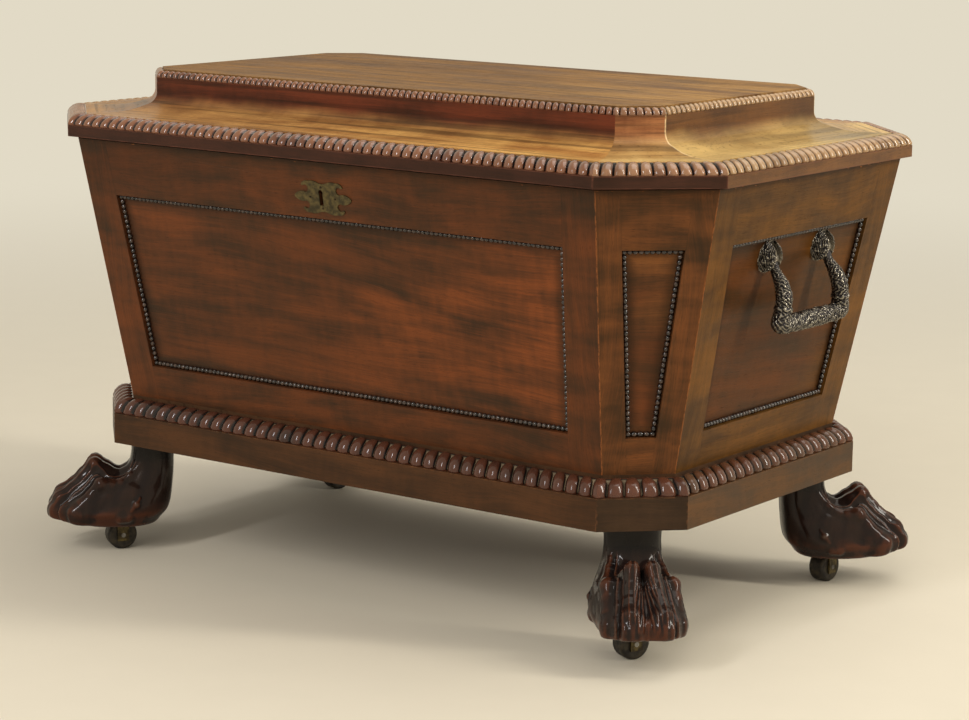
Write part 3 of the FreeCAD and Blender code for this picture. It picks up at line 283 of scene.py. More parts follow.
def gadroon_ring(node, width, lobes, relief, crest_steps):
    """Ring of lobes on a quarter-oval moulding. A point has a share of the way between two mitres and an
    angle round the oval. A lobe is nearly as wide as its pitch up to the middle of the oval, then narrows as
    a circle does to a point at the top. Its height is a half circle across that width, less at the foot and
    by as much as the width narrows. The oval is drawn in by the relief times what the height lacks."""
    low, high = extent(node)
    inner = HALF_LENGTH - high[0] + width
    floor, rise = low[2], high[2] - low[2]
    share = np.array(LOBE_STATIONS)
    angle = share * np.pi / 2
    round_top = np.sqrt(1 - np.clip((share - 0.52) / 0.46, 0, 1) ** 2)
    round_foot = np.sqrt(1 - np.clip(0.6 - share * 7, 0, 1) ** 2)
    half = LOBE_HALF * round_top
    step = np.array(crest_steps)
    offset = np.concatenate([step[:, None] * half, 1 - step[:0:-1, None] * half])
    lift = np.sqrt(np.clip(1 - step ** 2, 0, 1))
    lift = np.concatenate([lift, lift[:0:-1]])[:, None] * round_top * round_foot
    depth = relief * np.clip(1.6 - share, 0.6, 1)
    sides = []
    for side in range(8):
        count = lobes[(0, 1, 2, 1)[side % 4]]
        along = ((np.arange(count)[:, None, None] + offset) / count).reshape(-1, len(share))
        height = np.tile(lift, (count, 1))
        pitch = np.linalg.norm(np.diff(plan_corners(np.array(inner))[[side, (side + 1) % 8]], axis=0)) / count
        drawn = depth * pitch * (1 - height)
        back = ((0, 0), (0, 1))       # one more station, at the foot of the moulding's back
        inset = np.pad(inner - (width - drawn) * np.cos(angle), back, constant_values=inner)
        z = np.pad(floor + (rise - drawn) * np.sin(angle), back, constant_values=floor)
        along = np.pad(along, back, "edge")[..., None]
        corners = plan_corners(inset)
        plan = corners[side] * (1 - along) + corners[(side + 1) % 8] * along
        sides.append(np.concatenate([plan, z[..., None]], 2))
    return shell(np.concatenate(sides), True)


def beaded_strip(start, end, across, outward, pitch, reach):
    """Bar on the panel whose radius follows a row of balls, half circles along the pitch that never fall
    under the neck. Its section is a circle cut off by the panel, and it ends reach pitches past each end."""
    run = np.linalg.norm(end - start)
    count = max(round(run / pitch), 1)
    step = run / count
    ball = np.array([-0.5, -0.43, -0.27, 0.0, 0.27, 0.43])     # stations along a ball, in pitches
    first, last = -reach, count + reach
    place = (np.arange(round(last - first))[:, None] + first + 0.5 + ball).ravel()
    radius = BEAD * np.maximum(np.sqrt(1 - (np.tile(ball, round(last - first)) / 0.5) ** 2 * 0.999), NECK)
    place = np.concatenate([place[:1], place, [last, last]])
    radius = np.concatenate([[0.0], radius, [BEAD * NECK, 0.0]])
    tuck = 0.5                        # how far the section goes on below its widest, in radians
    round_angle = np.linspace(-tuck, np.pi + tuck, 9)
    line = start + (end - start) / run * (place * step)[:, None] + outward * (BEAD * math.sin(tuck))
    ring = np.cos(round_angle)[:, None] * across + np.sin(round_angle)[:, None] * outward
    return shell(line[:, None] + radius[:, None, None] * ring)


def beading(side, pitch):
    """Beaded strips round one panel; the level ones carry the balls of the corners."""
    middle, along, slope, outward = face_axes(side)
    flat = window_corners(side, BEAD)
    corners = middle + flat[:, :1] * along + flat[:, 1:] * slope - outward * PANEL_SINK
    strips = []
    for i in range(4):
        start, end = corners[i], corners[(i + 1) % 4]
        direction = (end - start) / np.linalg.norm(end - start)
        strips.append(beaded_strip(start, end, np.cross(outward, direction), outward, pitch, (0.5, -0.5)[i % 2]))
    return strips


# ---- paw feet

def through(z, stations, values):
    """Smooth curve through values at rising stations, each stretch a cubic with its neighbours' slopes."""
    stations, values = np.array(stations, float), np.array(values, float)
    slopes = np.gradient(values, stations)
    i = np.clip(np.searchsorted(stations, z) - 1, 0, len(stations) - 2)
    gap = stations[i + 1] - stations[i]
    t = np.clip((z - stations[i]) / gap, 0, 1)
    return ((2 * t ** 3 - 3 * t ** 2 + 1) * values[i] + (t ** 3 - 2 * t ** 2 + t) * gap * slopes[i]
            + (3 * t ** 2 - 2 * t ** 3) * values[i + 1] + (t ** 3 - t ** 2) * gap * slopes[i + 1])


def joined(a, b, soft):
    """Union of two distance fields, with a fillet of size soft."""
    share = np.clip(0.5 + 0.5 * (b - a) / soft, 0, 1)
    return b + (a - b) * share - soft * share * (1 - share)


def bar(point, start, end, start_radius, end_radius):
    """Distance to a round bar that tapers between two points."""
    start, run = np.array(start, float), np.subtract(end, start).astype(float)
    share = np.clip(((point - start) @ run) / (run @ run), 0, 1)
    return np.linalg.norm(point - start - share[..., None] * run, axis=-1) - start_radius \
        - (end_radius - start_radius) * share


def chain(point, stations, soft):
    """Distance to a chain of tapering bars through (x, y, z, radius) stations."""
    field = None
    for a, b in zip(stations, stations[1:]):
        part = bar(point, a[:3], b[:3], a[3], b[3])
        field = part if field is None else joined(field, part, soft)
    return field


def ramp(value, start, end):
    """Smooth step from 0 at start to 1 at end."""
    t = np.clip((value - start) / (end - start), 0, 1)
    return t * t * (3 - 2 * t)


def ridge(offset, width):
    """Bell of height 1 across an offset from its line."""
    return np.exp(-(offset / width) ** 2)


def waves(turns):
    """Cosine waves between 0 and 1, one for each turn."""
    return 0.5 + 0.5 * np.cos(2 * np.pi * turns)


# The paw lies along X from the ankle's middle, on both sides of Y = 0, at its own height.
PAW_SECTIONS, PAW_RAYS = 180, 216
FAN_OUT = 65.0                        # ankle's middle to the line that the sections fan about
ANKLE_TOP = 130.0
CASTOR_OUT = 31.0                     # ankle's middle to the axis of the castor's recess
RECESS_RADIUS, RECESS_TOP = 27.1, 39.9
SOLE, SOLE_BEND, SOLE_RISE = 31.4, 64, 0.165    # height, and where outwards it starts to rise, and how fast
# Level sections of ankle and pad: height, back, front, half width
PAW_LEVELS = [(29, -3, 82, 37), (38, -9, 90, 42.5), (46, -16, 93, 46.6), (54, -19, 84, 45.8), (62, -20.5, 73, 43.2),
              (72, -21.6, 56, 39), (82, -22.5, 40, 34), (93, -23.2, 29, 30), (104, -23.5, 25, 28.6),
              (ANKLE_TOP, -23.5, 23.5, 28.7)]
# Chains of the bulk under the toes and of the slender toes on it: outwards, sideways, height, radius
BULK = ([(34, 8, 74, 12), (58, 9.5, 84, 12.5), (78, 11, 64, 12.5), (97, 12.5, 50, 13), (97, 12.5, 40, 13)],
        [(30, 22, 74, 11.5), (48, 25, 73.5, 11.5), (62, 26.5, 61, 12), (79, 26.5, 48, 13), (78, 26, 39, 13)],
        [(62, 0, 80, 8), (80, 0, 65, 8.5), (98, 0, 47, 12), (99, 0, 39, 12.5)],
        [(64, 17, 79, 9), (82, 19.5, 62.5, 9), (93, 21, 48, 11.5), (93, 21, 40, 11.5)],
        [(22, 28, 66, 12), (48, 29, 64.5, 11.2), (68, 31, 54, 10.5), (78, 31, 45, 11)])
TOES = ([(20, 11, 96, 5.5), (30, 9, 87, 6.5), (40, 8.5, 83, 7.5), (52, 9, 89.5, 7.6), (64, 9.5, 97.6, 7.4),
         (76, 11.5, 83.5, 6.2), (88, 13.5, 71.5, 6.4), (100, 15.2, 59.5, 9.6), (104.5, 15.4, 48, 10.5),
         (104.5, 15.2, 38, 10.5)],
        [(14, 22, 99, 3.5), (24, 25.5, 87.5, 4.6), (35, 29, 79, 5.4), (45, 30.5, 77.5, 6), (56, 31, 79, 8.2),
         (66, 32.5, 68, 6.6), (77, 33, 56, 7.4), (83, 31, 48, 11), (82, 30, 38, 11)])
DEWCLAW = [(14, 41.0, 65, 1.8), (17.5, 42.6, 58.5, 4.2), (23, 44.2, 52, 2.0)]
SIDE_LOBE = [(27, 42.4, 43.5, 5.2), (35, 42.4, 43, 5.2)]
# Plan of the line between inner and outer toe, and of the inner toe's crest
CLEFT = [(8, 20), (23, 21.5), (37, 25.5), (47, 25.6), (54, 22.6), (61, 20.3), (67, 21.2), (74, 23), (86, 24.5),
         (93, 26), (108, 28)]
CREST = [(20, 11), (40, 8.5), (52, 9), (64, 9.5), (76, 11.5), (88, 13.5), (101, 15.2), (112, 15.8)]


def paw_field(point):
    """Signed distance, below zero inside the paw, the same on both sides of its middle. Level sections of the
    core are superellipses of exponent 2.5, and their back, front and half width follow smooth curves up
    the ankle. Chains of tapering bars join it with fillets: bulk, toes, dewclaw, side lobe. Then a bell
    cuts along the cleft between the toes and down the valley between the inner ones, and these stand
    out: bells beside the cleft and the inner crest, a fan of cosine ribs behind the valley, and cosine
    flutes under the toes. A sole that rises outwards and the castor's round recess are cut off last."""
    x, y, z = point[..., 0], np.abs(point[..., 1]), point[..., 2]
    folded = np.stack([x, y, z], -1)
    levels = np.array(PAW_LEVELS, float)
    back, front, half = (through(z, levels[:, 0], levels[:, i]) for i in (1, 2, 3))
    reach = (front - back) / 2
    field = ((np.abs((x - (front + back) / 2) / reach) ** 2.5 + (y / half) ** 2.5 + 1e-9) ** 0.4 - 1) \
        * np.minimum(reach, half)
    for stations, soft, fillet in (*((bulk, 3.0, 7.0) for bulk in BULK), *((toe, 3.0, 4.0) for toe in TOES),
                                   (DEWCLAW, 1.5, 1.6), (SIDE_LOBE, 1.5, 3.0)):
        field = joined(field, chain(folded, stations, soft), fillet)
    cleft, crest = (y - through(x, *np.array(line, float).T) for line in (CLEFT, CREST))
    ahead = ramp(x, 12, 24) * ramp(z, 106, 96)
    cut = 1.6 * ridge(cleft, 2.0) * ahead * ramp(z, 30, 44)
    valley = 1.6 * ridge(y, 1.6) * ramp(x, 44, 60) * ramp(z, 40, 60)
    ribs = (0.9 * ridge(cleft - 3.1, 1.1) + 0.8 * ridge(cleft + 3.0, 1.0)) * ahead * ramp(z, 34, 46)
    edges = 0.75 * (ridge(crest - 2.7, 0.9) + ridge(crest + 2.7, 0.9)) * ramp(x, 30, 60) * ramp(z, 50, 58)
    turn = np.arctan2(y, x - 56) / 0.088
    fan = 0.9 * waves(turn) ** 1.6 * ramp(crest, -1.5, -4) * ramp(x, 64, 74) * ramp(z, 42, 56)
    flutes = 0.9 * waves((y - 15.5) / 8.2) * ramp(x, 84, 96) * ramp(z, 62, 54)
    field = field + cut + valley - ribs - edges - fan - flutes
    sole = SOLE - z + SOLE_RISE * np.clip(x - SOLE_BEND, 0, 60)
    field = -joined(-field, -sole, 4.0)
    recess = np.maximum(np.hypot(x - CASTOR_OUT, y) - RECESS_RADIUS, z - RECESS_TOP)
    return -joined(-field, recess, 1.2)


def paw_grid():
    """Points of the paw's surface: sections fan about a level line in front of the instep, from the ankle's
    level top to an upright plane through the knuckles, then close on a pole between the toes. In each,
    rays leave a middle point inside, and each point is where its ray leaves the field, found in 70
    steps of 0.6 of the field's value."""
    fan = np.linspace(0, 1, round(PAW_SECTIONS * 0.62))
    turn = np.pi * (1 + fan / 2)
    radial = np.stack([np.cos(turn), 0 * turn, np.sin(turn)], 1)
    centre = np.array([FAN_OUT, 0.0, ANKLE_TOP]) + radial * (FAN_OUT + 3 * fan)[:, None]
    bow = np.linspace(np.pi / 2, 0, PAW_SECTIONS - len(fan) + 1)[1:]
    sweep = np.linspace(0, 2 * np.pi, PAW_RAYS, endpoint=False)
    side = np.array([0.0, 1.0, 0.0])
    level = np.cos(sweep)[None, :, None] * radial[:, None] + np.sin(sweep)[None, :, None] * side
    down = np.cos(sweep)[:, None] * np.array([0, 0, -1.0]) + np.sin(sweep)[:, None] * side
    cap = np.cos(bow)[:, None, None] * np.array([1.0, 0, 0]) + np.sin(bow)[:, None, None] * down[None]
    direction = np.concatenate([level, cap])
    start = np.concatenate([centre, np.repeat(centre[-1:], len(bow), 0)])[:, None]
    distance = np.zeros(direction.shape[:2])
    for _ in range(70):
        distance = distance - 0.6 * paw_field(start + direction * distance[..., None])
    grid = start + direction * distance[..., None]
    grid[0, :, 2] = ANKLE_TOP
    return np.concatenate([np.repeat(centre[:1, None], PAW_RAYS, 1), grid])


PLINTH_INSET, ANKLE_IN = 47.0, 43.0    # lid's edge to the plinth's face, and on to the ankle's middle
PAW_TURN = math.radians(-3.0)         # off the diagonal


def foot_place(corner, grid):
    """The paw's points carried to its corner, in from the plinth's canted face and nearly on the diagonal."""
    plan = plan_corners(np.array(PLINTH_INSET))
    diagonal = np.array(CORNERS[corner]) * SINE
    origin = np.array(CORNERS[corner]) * np.abs(plan[1] + plan[2]) / 2 - diagonal * ANKLE_IN
    cosine, sine = math.cos(PAW_TURN), math.sin(PAW_TURN)
    outward = np.array([diagonal[0] * cosine - diagonal[1] * sine, diagonal[0] * sine + diagonal[1] * cosine])
    sideways = np.array([-outward[1], outward[0]])
    return np.concatenate([origin + grid[..., :1] * outward + grid[..., 1:2] * sideways, grid[..., 2:]], -1)


# ---- handles

def smoothed(values, width):
    """Values along a path, each the mean of its neighbours within a bell of the given width."""
    reach = int(3 * width)
    bell = np.exp(-0.5 * (np.arange(-reach, reach + 1) / width) ** 2)
    padded = np.concatenate([2 * values[0] - values[reach:0:-1], values, 2 * values[-1] - values[-2:-reach - 2:-1]])
    return np.stack([np.convolve(column, bell / bell.sum(), "valid") for column in padded.T], 1)


def scrolls(run, turn):
    """Cast leaf scrolls, from 0 in the ground to 1 on a ridge, at a distance along a form in millimetres and a
    turn round it: thin ridges stand where the product of two bent waves crosses nought."""
    wave = (np.sin(0.74 * run + 1.9 * np.cos(4 * turn - 0.3 * run) + 0.8 * np.sin(0.31 * run))
            * np.cos(4 * turn + 0.42 * run + 1.3 * np.sin(0.6 * run)))
    return 1 - np.abs(wave) ** 0.7 + 0.12 * np.cos(13 * turn + 1.9 * run)


# Half of the handle's path from an eye to its middle: outwards, sideways, up, radius
BAIL_STATIONS = [(0, EYE_OUT, -3, 4.4), (3.0, EYE_OUT, -13, 4.6), (11.6, 54, -25, 7.2), (16.0, 55.5, -37, 8.2),
                 (15.9, 57.6, -51, 8.2), (14.2, 60, -64.6, 9.4), (14, 47, -65.5, 8.2), (14, 24, -65.5, 8.6),
                 (14, 0, -65.5, 8.8)]
BAIL_RINGS, BAIL_RAYS = 420, 56
GRIP_HALF, LEAF_HALF = 40, 124        # how far twist and leaves reach from the middle along the path
COLLARS = ((47, 1.6, 0.10), (76, 1.8, 0.16))    # place from the middle, width, swell


def bail_shell(pivot, end, flutes):
    """Cast handle: a round bar along a rounded path from eye to eye. Its radius is that of the station,
    times leaf scrolls, a slow twist on the grip, and narrow collars."""
    stations = np.array(BAIL_STATIONS, float)
    stations = np.concatenate([stations, stations[-2::-1] * (1, -1, 1, 1)])
    length = np.concatenate([[0], np.cumsum(np.linalg.norm(np.diff(stations[:, :3], axis=0), axis=1))])
    place = np.linspace(0, length[-1], BAIL_RINGS)
    path = smoothed(np.stack([np.interp(place, length, stations[:, i]) for i in range(4)], 1), 4.5)
    place = (place - place[-1] / 2)[:, None]
    out = np.abs(place)
    angle = np.linspace(0, 2 * np.pi, BAIL_RAYS, endpoint=False)[None, :]
    twist = 0.07 * np.abs(np.cos(flutes / 2 * angle + place / 7))
    relief = (1 + np.clip((GRIP_HALF - out) / 10, 0, 1) * twist
              + np.clip((LEAF_HALF - out) / 10, 0, 1) * 0.15 * (scrolls(out, angle) - 0.5))
    for collar, width, swell in COLLARS:
        relief = relief + swell * np.exp(-((out - collar) / width) ** 4)
    radius = path[:, 3:] * np.minimum(relief, 1.19)
    tangent = np.gradient(path[:, :3], axis=0)
    tangent /= np.linalg.norm(tangent, axis=1, keepdims=True)
    normal = np.array([1.0, 0, 0]) - tangent[:, :1] * tangent
    normal /= np.linalg.norm(normal, axis=1, keepdims=True)
    across = np.cross(tangent, normal)
    ring = path[:, None, :3] + radius[..., None] * (np.cos(angle)[..., None] * normal[:, None]
                                                   + np.sin(angle)[..., None] * across[:, None])
    first, last = (np.repeat(path[i:i + 1, None, :3], BAIL_RAYS, 1) for i in (0, BAIL_RINGS - 1))
    return shell(pivot + np.concatenate([first, ring, last]) * (end, 1, 1))


def eye_shells(pivot):
    """Bored eyes at both ends of a handle, with rounded rims."""
    profile = [(2.06, -4.5), (4.3, -4.5), (5, -3.6), (5, 3.6), (4.3, 4.5), (2.06, 4.5)]
    return [turned(profile, 28, pivot + (0, side * EYE_OUT, 0), (0, 1, 0), (1, 0, 0)) for side in (-1, 1)]


def handle_centre(side):
    """Middle of a handle's axis, at its height on an end wall and a little out of the wall's plane."""
    middle, _, slope, outward = face_axes(side)
    up = (HANDLE_HEIGHT - BODY_FOOT + AXIS_OUT * math.sin(SLOPE)) / math.cos(SLOPE)
    return middle + slope * up + outward * AXIS_OUT


def rose_shells(side, hand):
    """Domed rose in three closed parts, a flank each side of the eye's slot and a web under it, and its stud.
    A flank's point has a share of the way from slot to rim and one along the slot. It lies on half an
    ellipsoid, drawn in towards the middle between leaves, where a power of a cosine of the turn is low,
    and between the scrolls on them."""
    along, slope, outward = face_axes(side)[1:]
    centre = handle_centre(side) - outward * (AXIS_OUT + PANEL_SINK) + along * (hand * EYE_OUT)
    rim, rise, slot, web = 17.4, 15.6, 4.9, 2.0      # radius, height, half the slot, height of the web

    parts = []
    y = math.sqrt(rim ** 2 - slot ** 2) * np.sin(np.linspace(-1, 1, 71) * np.pi / 2)[:, None]
    edge = np.sqrt(rim ** 2 - y ** 2)
    for way in (-1, 1):
        x = slot + (edge - slot) * np.sin(np.linspace(0, 1, 36)[None, :] * np.pi / 2)
        radius = np.minimum(np.hypot(x, y) / rim, 1)
        turn, run = np.arctan2(y, x * way), 1.5 * rim * np.arcsin(radius)
        leaves = np.abs(np.cos(4.5 * turn)) ** 0.7
        cut = 1 - np.clip(radius * 2.2, 0, 1) * (0.06 * (1 - leaves) + 0.11 * (1 - scrolls(run, turn)))
        flank = np.stack([way * (slot + (x - slot) * cut), y * cut, rise * np.sqrt(1 - radius ** 2) * cut], -1)
        flank[[0, -1], :, 2] = 0
        parts.append(flank)
    x = np.linspace(-slot, slot, 7)[None, :]
    y = np.sqrt(rim ** 2 - x ** 2) * 0.96 * np.linspace(-1, 1, 21)[:, None]
    parts.append(np.stack([np.repeat(x, 21, 0), y, np.full_like(y, web)], -1))
    shells = []
    for grid in parts:
        foot = grid * (1, 1, 0)
        grid = np.concatenate([foot[:, :1], grid, foot[:, -1:]], 1)
        ends = [np.broadcast_to(grid[i].mean(0), grid[i].shape)[None] for i in (0, -1)]
        grid = np.concatenate([ends[0], grid, ends[1]])
        shells.append(shell(centre + grid[..., :1] * along + grid[..., 1:2] * slope + grid[..., 2:] * outward))
    stud = [(0, -15.5), (3, -15.5), (3, 0.5), (0, 0.5)]
    return shells + [turned(stud, 20, centre, outward, along)]


# ---- shader maths

def arithmetic(operation):
    """Method of a value that adds a Math node of the given operation."""
    return lambda value, *others: value.shading.node("ShaderNodeMath", {"operation": operation},
                                                     dict(enumerate((value, *others))))


class Value:
    """A number or colour in a node tree; arithmetic on it adds Math nodes."""

    def __init__(self, shading, socket):
        self.shading, self.socket = shading, socket

    __add__ = __radd__ = arithmetic("ADD")
    __mul__ = __rmul__ = arithmetic("MULTIPLY")
    __sub__, __truediv__, __abs__ = arithmetic("SUBTRACT"), arithmetic("DIVIDE"), arithmetic("ABSOLUTE")
    __lt__, __gt__ = arithmetic("LESS_THAN"), arithmetic("GREATER_THAN")
    lower, higher, root = arithmetic("MINIMUM"), arithmetic("MAXIMUM"), arithmetic("SQRT")

    def __rsub__(self, other):
        return self * -1 + other

    def rise(self, start, end, low=0.0, high=1.0):
        """Smooth step from low at start to high at end."""
        return self.shading.node("ShaderNodeMapRange", {"interpolation_type": "SMOOTHSTEP"},
                                 {0: self, 1: start, 2: end, 3: low, 4: high})


class Shading:
    """The node tree of a material or world being made: one method adds any node, others build on it."""

    def __init__(self, owner):
        owner.use_nodes = True
        self.owner, self.tree = owner, owner.node_tree
        self.tree.nodes.clear()

    def node(self, kind, settings=None, inputs=None, out=0):
        """Adds a node; a value for an input is linked to it, anything else is set on its socket."""
        made = self.tree.nodes.new(kind)
        for key, setting in (settings or {}).items():
            setattr(made, key, setting)
        for key, given in (inputs or {}).items():
            if isinstance(given, Value):
                self.tree.links.new(given.socket, made.inputs[key])
            else:
                made.inputs[key].default_value = (*given[:3], 1) if made.inputs[key].type == "RGBA" else given
        return Value(self, made.outputs[out])

    def mix(self, share, start, end, blend="MIX"):
        """Colour between two colours."""
        return self.node("ShaderNodeMix", {"data_type": "RGBA", "blend_type": blend, "clamp_factor": True},
                         {0: share, 6: start, 7: end}, 2)

    def seen(self):
        """1 for what the camera sees straight, in a reflection or through glass."""
        straight, mirrored, clear = (self.node("ShaderNodeLightPath", out=way) for way in
                                     ("Is Camera Ray", "Is Glossy Ray", "Is Transmission Ray"))
        return straight.higher(mirrored).higher(clear)

    def ended(self, shader):
        """The owner, with the shader as its surface."""
        kind = "ShaderNodeOutputWorld" if isinstance(self.owner, bpy.types.World) else "ShaderNodeOutputMaterial"
        self.tree.links.new(shader.socket, self.tree.nodes.new(kind).inputs["Surface"])
        return self.owner


class Finish(Shading):
    """A material being made, with its place on the chest in millimetres."""

    def __init__(self, name):
        super().__init__(bpy.data.materials.new(name))
        self.place = self.node("ShaderNodeTexCoord", out="Object")
        self.x, self.y, self.z = (self.node("ShaderNodeSeparateXYZ", inputs={0: self.place}, out=i) * (1 / MM)
                                  for i in range(3))

    def noise(self, x, y, z, detail=3.0, roughness=0.5):
        place = self.node("ShaderNodeCombineXYZ", inputs={0: x, 1: y, 2: z})
        return self.node("ShaderNodeTexNoise", inputs={"Vector": place, "Scale": 1.0, "Detail": detail,
                                                       "Roughness": roughness})

    def clouds(self, size, detail=3.0, roughness=0.5):
        """Noise of one size all ways."""
        return self.noise(self.x / size, self.y / size, self.z / size, detail, roughness)

    def cells(self, scale):
        return self.node("ShaderNodeTexVoronoi", inputs={"Vector": self.place, "Scale": scale}, out="Distance")

    def relief(self):
        return self.node("ShaderNodeAttribute", {"attribute_name": "relief"}, out="Fac")

    def surface(self, colour, roughness, height, metallic=0.0, coat=0.0, depth=0.2, glow=None, **fixed):
        """The finished surface; height in millimetres feeds its bump. Glow is a share and the plain colour
        that it mixes in."""
        inputs = {"Base Color": colour, "Roughness": roughness, "Metallic": metallic, "Coat Weight": coat, **fixed}
        if height is not None:
            inputs["Normal"] = self.node("ShaderNodeBump", inputs={"Strength": 1.0, "Distance": depth * MM,
                                                                   "Height": height})
        shader = self.node("ShaderNodeBsdfPrincipled", inputs=inputs)
        if glow is not None:
            plain = self.node("ShaderNodeEmission", inputs={"Color": glow[1]})
            shader = self.node("ShaderNodeMixShader", inputs={0: glow[0], 1: shader, 2: plain})
        return self.ended(shader)

    def grain(self, along, across, depth, seed, stretch=1.0):
        """Mahogany figure: soft clouds, broad bands, fine fibres, short pores and faint marks across the
        bands. Each is a noise drawn out along the grain; a slow drift bends them all."""
        depth = depth / 90 + seed
        bent = across + self.noise(along / (330 * stretch), across / 120, depth, 2.0) * 60
        return {"bands": self.noise(along / (190 * stretch), bent / 12, depth, 4.0, 0.6),
                "fibre": self.noise(along / (34 * stretch), bent / 1.4, depth, 3.0, 0.6),
                "pores": self.noise(along / (6 * stretch), bent / 0.5, depth * 3, 1.0).rise(0.60, 0.72),
                "mottle": self.noise(along / 9, across / 34, depth),
                "cloud": self.noise(along / (85 * stretch), bent / 30, depth + 7, 3.0, 0.55),
                "patch": self.noise(along / 260, across / 90, depth + 3, 2.0)}

    def wood(self, ground, streak, grain, share=1.0, wear=None, worn=None, roughness=0.4, shade=None, coat=0.04,
             gloss=0.3):
        """Polished wood between a ground and a streak colour, with dark pores, worn places, places darkened
        towards black for painted shade and for dark marks, and a wax sheen."""
        tone = (grain["cloud"] * 0.75 + grain["bands"] * 0.40 + grain["patch"] * 0.40 + grain["fibre"] * 0.20
                + grain["mottle"] * 0.18 - 0.465)
        colour = self.mix((tone * share).rise(0.24, 0.80), ground, streak)
        colour = self.mix(grain["fibre"].rise(0.35, 0.7, 0.0, 0.12), colour, (1.0, 0.72, 0.45), "SOFT_LIGHT")
        colour = self.mix(grain["pores"] * 0.4, colour, (0.010, 0.005, 0.003))
        if wear is not None:
            colour = self.mix(wear, colour, worn)
        if shade is not None:
            colour = self.mix(shade, colour, SHADE_AND_WAX_BLACK)
        height = grain["fibre"] * 0.5 - grain["pores"] * 0.8 + grain["bands"] * 0.3
        rough = grain["cloud"].rise(0.3, 0.7, roughness - 0.05, roughness + 0.08) + grain["pores"] * 0.15
        return self.surface(colour, rough, height, coat=coat, depth=0.05,
                            **{"Coat Roughness": 0.2, "IOR": 1.48, "Specular IOR Level": gloss,
                               "Specular Tint": (1.0, 0.62, 0.38)})


class SidedFinish(Finish):
    """A finish that tells the sides of any ring of the plan apart. It has masks of the long sides, ends and
    canted corners, the distance along a side from its middle (along), out from the middle of the plan
    (depth) and in from the nearest mitre (gap)."""

    def __init__(self, name):
        super().__init__(name)
        wide, deep = abs(self.x), abs(self.y)
        long_gap = deep * LEAN + FRONT_START - wide
        end_gap = wide * LEAN + END_START - deep
        self.long_side, self.end_side = long_gap > 0, end_gap > 0
        self.cant_side = 1 - self.long_side - self.end_side
        across = (wide - deep - (HALF_LENGTH - HALF_DEPTH)) * SINE
        out = (wide + deep) * SINE
        cant_gap = out * LEAN + (CANT * SINE - CANT_OUT * LEAN) - abs(across)
        self.along = self.by_side(self.x, self.y, across + out * 0.001)
        self.depth = self.by_side(self.y, self.x, out)
        self.gap = self.by_side(long_gap, end_gap, cant_gap)

    def by_side(self, on_long, on_end, on_cant):
        """Number of each kind of side."""
        return on_long * self.long_side + on_end * self.end_side + on_cant * self.cant_side

    def coloured(self, on_long, on_end, on_cant):
        """Colour of each kind of side."""
        return self.mix(self.end_side, self.mix(self.cant_side, on_long, on_cant), on_end)


# ---- finishes

EDGE_FOOT = 2.3                       # lowest point of the lid's frame up to the edge's lower arris
COVE_FLAT = 11.6                      # foot of the hollow moulding up to its flat
# Darkest colour, for painted shade and for dark wax, joints and figure.
SHADE_AND_WAX_BLACK = (0.006, 0.004, 0.003)     # scene-linear


def colours():
    return bpy.context.scene.cellarette.finish


def carcass_finish(name="carcass_mahogany", gloss=0.3):
    """Frames of the walls: rails grained along the side, stiles up it, rubbed arrises, painted shadow of the lid
    along the top edge.
    """
    f = SidedFinish(name)
    stile = f.by_side(STILES[0], STILES[2], STILES[1])
    upright = f.gap < stile
    rails, stiles = f.grain(f.along, f.z, f.depth, 1.3), f.grain(f.z, f.along, f.depth, 5.1)
    grain = {key: rails[key] * (1 - upright) + stiles[key] * upright for key in rails}
    grain["cloud"], grain["patch"] = rails["cloud"], rails["patch"]
    # The ends are given lighter colours than the front and cants, partly painted light from the right.
    ground = f.coloured(colours().wood_dark, rgb(62, 41, 18), rgb(46, 33, 21))
    streak = f.coloured(colours().wood_light, rgb(112, 75, 33), rgb(110, 65, 33))
    rub = f.gap.rise(0.2, 1.1, 0.6, 0.0) * f.noise(f.along / 3, f.z / 14, f.depth).rise(0.36, 0.6)
    joint = (abs(f.gap - stile) < 0.25) * 0.2
    chips = (f.z > BODY_RIM - 2.0) * f.noise(f.along / 7, f.z / 2, f.depth, 2.0).rise(0.66, 0.72)
    # Painted shadow of the lid: a narrow dark band under the rim, and a wider one on the long sides, strongest
    # towards the left.
    lid_shadow = f.z.rise(BODY_RIM - 7, BODY_RIM, 0.0, 0.55).higher(
        f.z.rise(BODY_RIM - 75, BODY_RIM - 20, 0.0, 0.4) * f.long_side * f.x.rise(-330, -60, 1.0, 0.25))
    return f.wood(ground, streak, grain, 1.0, (rub + chips).lower(1.0), colours().wood_worn,
                  shade=(lid_shadow * (1 - chips) + joint).lower(0.8), gloss=gloss)


def panel_finish(name="panel_mahogany", gloss=0.3):
    """Sunk panels: long figured streaks, redder above, with painted shade in from the frame and beading."""
    f = SidedFinish(name)
    grain = f.grain(f.along, f.z + f.along * 0.05, f.depth, 9.7, 1.4)
    upper = f.noise(f.along / 240, f.z / 120, f.depth / 100, 2.0) + f.along * f.long_side / 1500
    ground = f.coloured(colours().wood_dark, rgb(54, 36, 17), rgb(52, 36, 23))
    light = f.coloured(rgb(134, 70, 33), rgb(104, 68, 26), rgb(160, 104, 54))
    red = f.mix(upper.rise(0.4, 0.75), f.mix(f.end_side, colours().wood_light, rgb(90, 52, 24)), light)
    level = (f.z - BODY_FOOT) / (BODY_RIM - BODY_FOOT)
    # Painted shade: the panel darkens in from its edges along the frame.
    edge = (f.gap - f.by_side(STILES[0], STILES[2], STILES[1])).lower(
        (level - 0.13) * 286).lower((0.795 - level) * 286)
    return f.wood(ground, red, grain, 1.04, shade=edge.rise(3.0, 15.0, 0.6, 0.0), roughness=0.34, gloss=gloss)


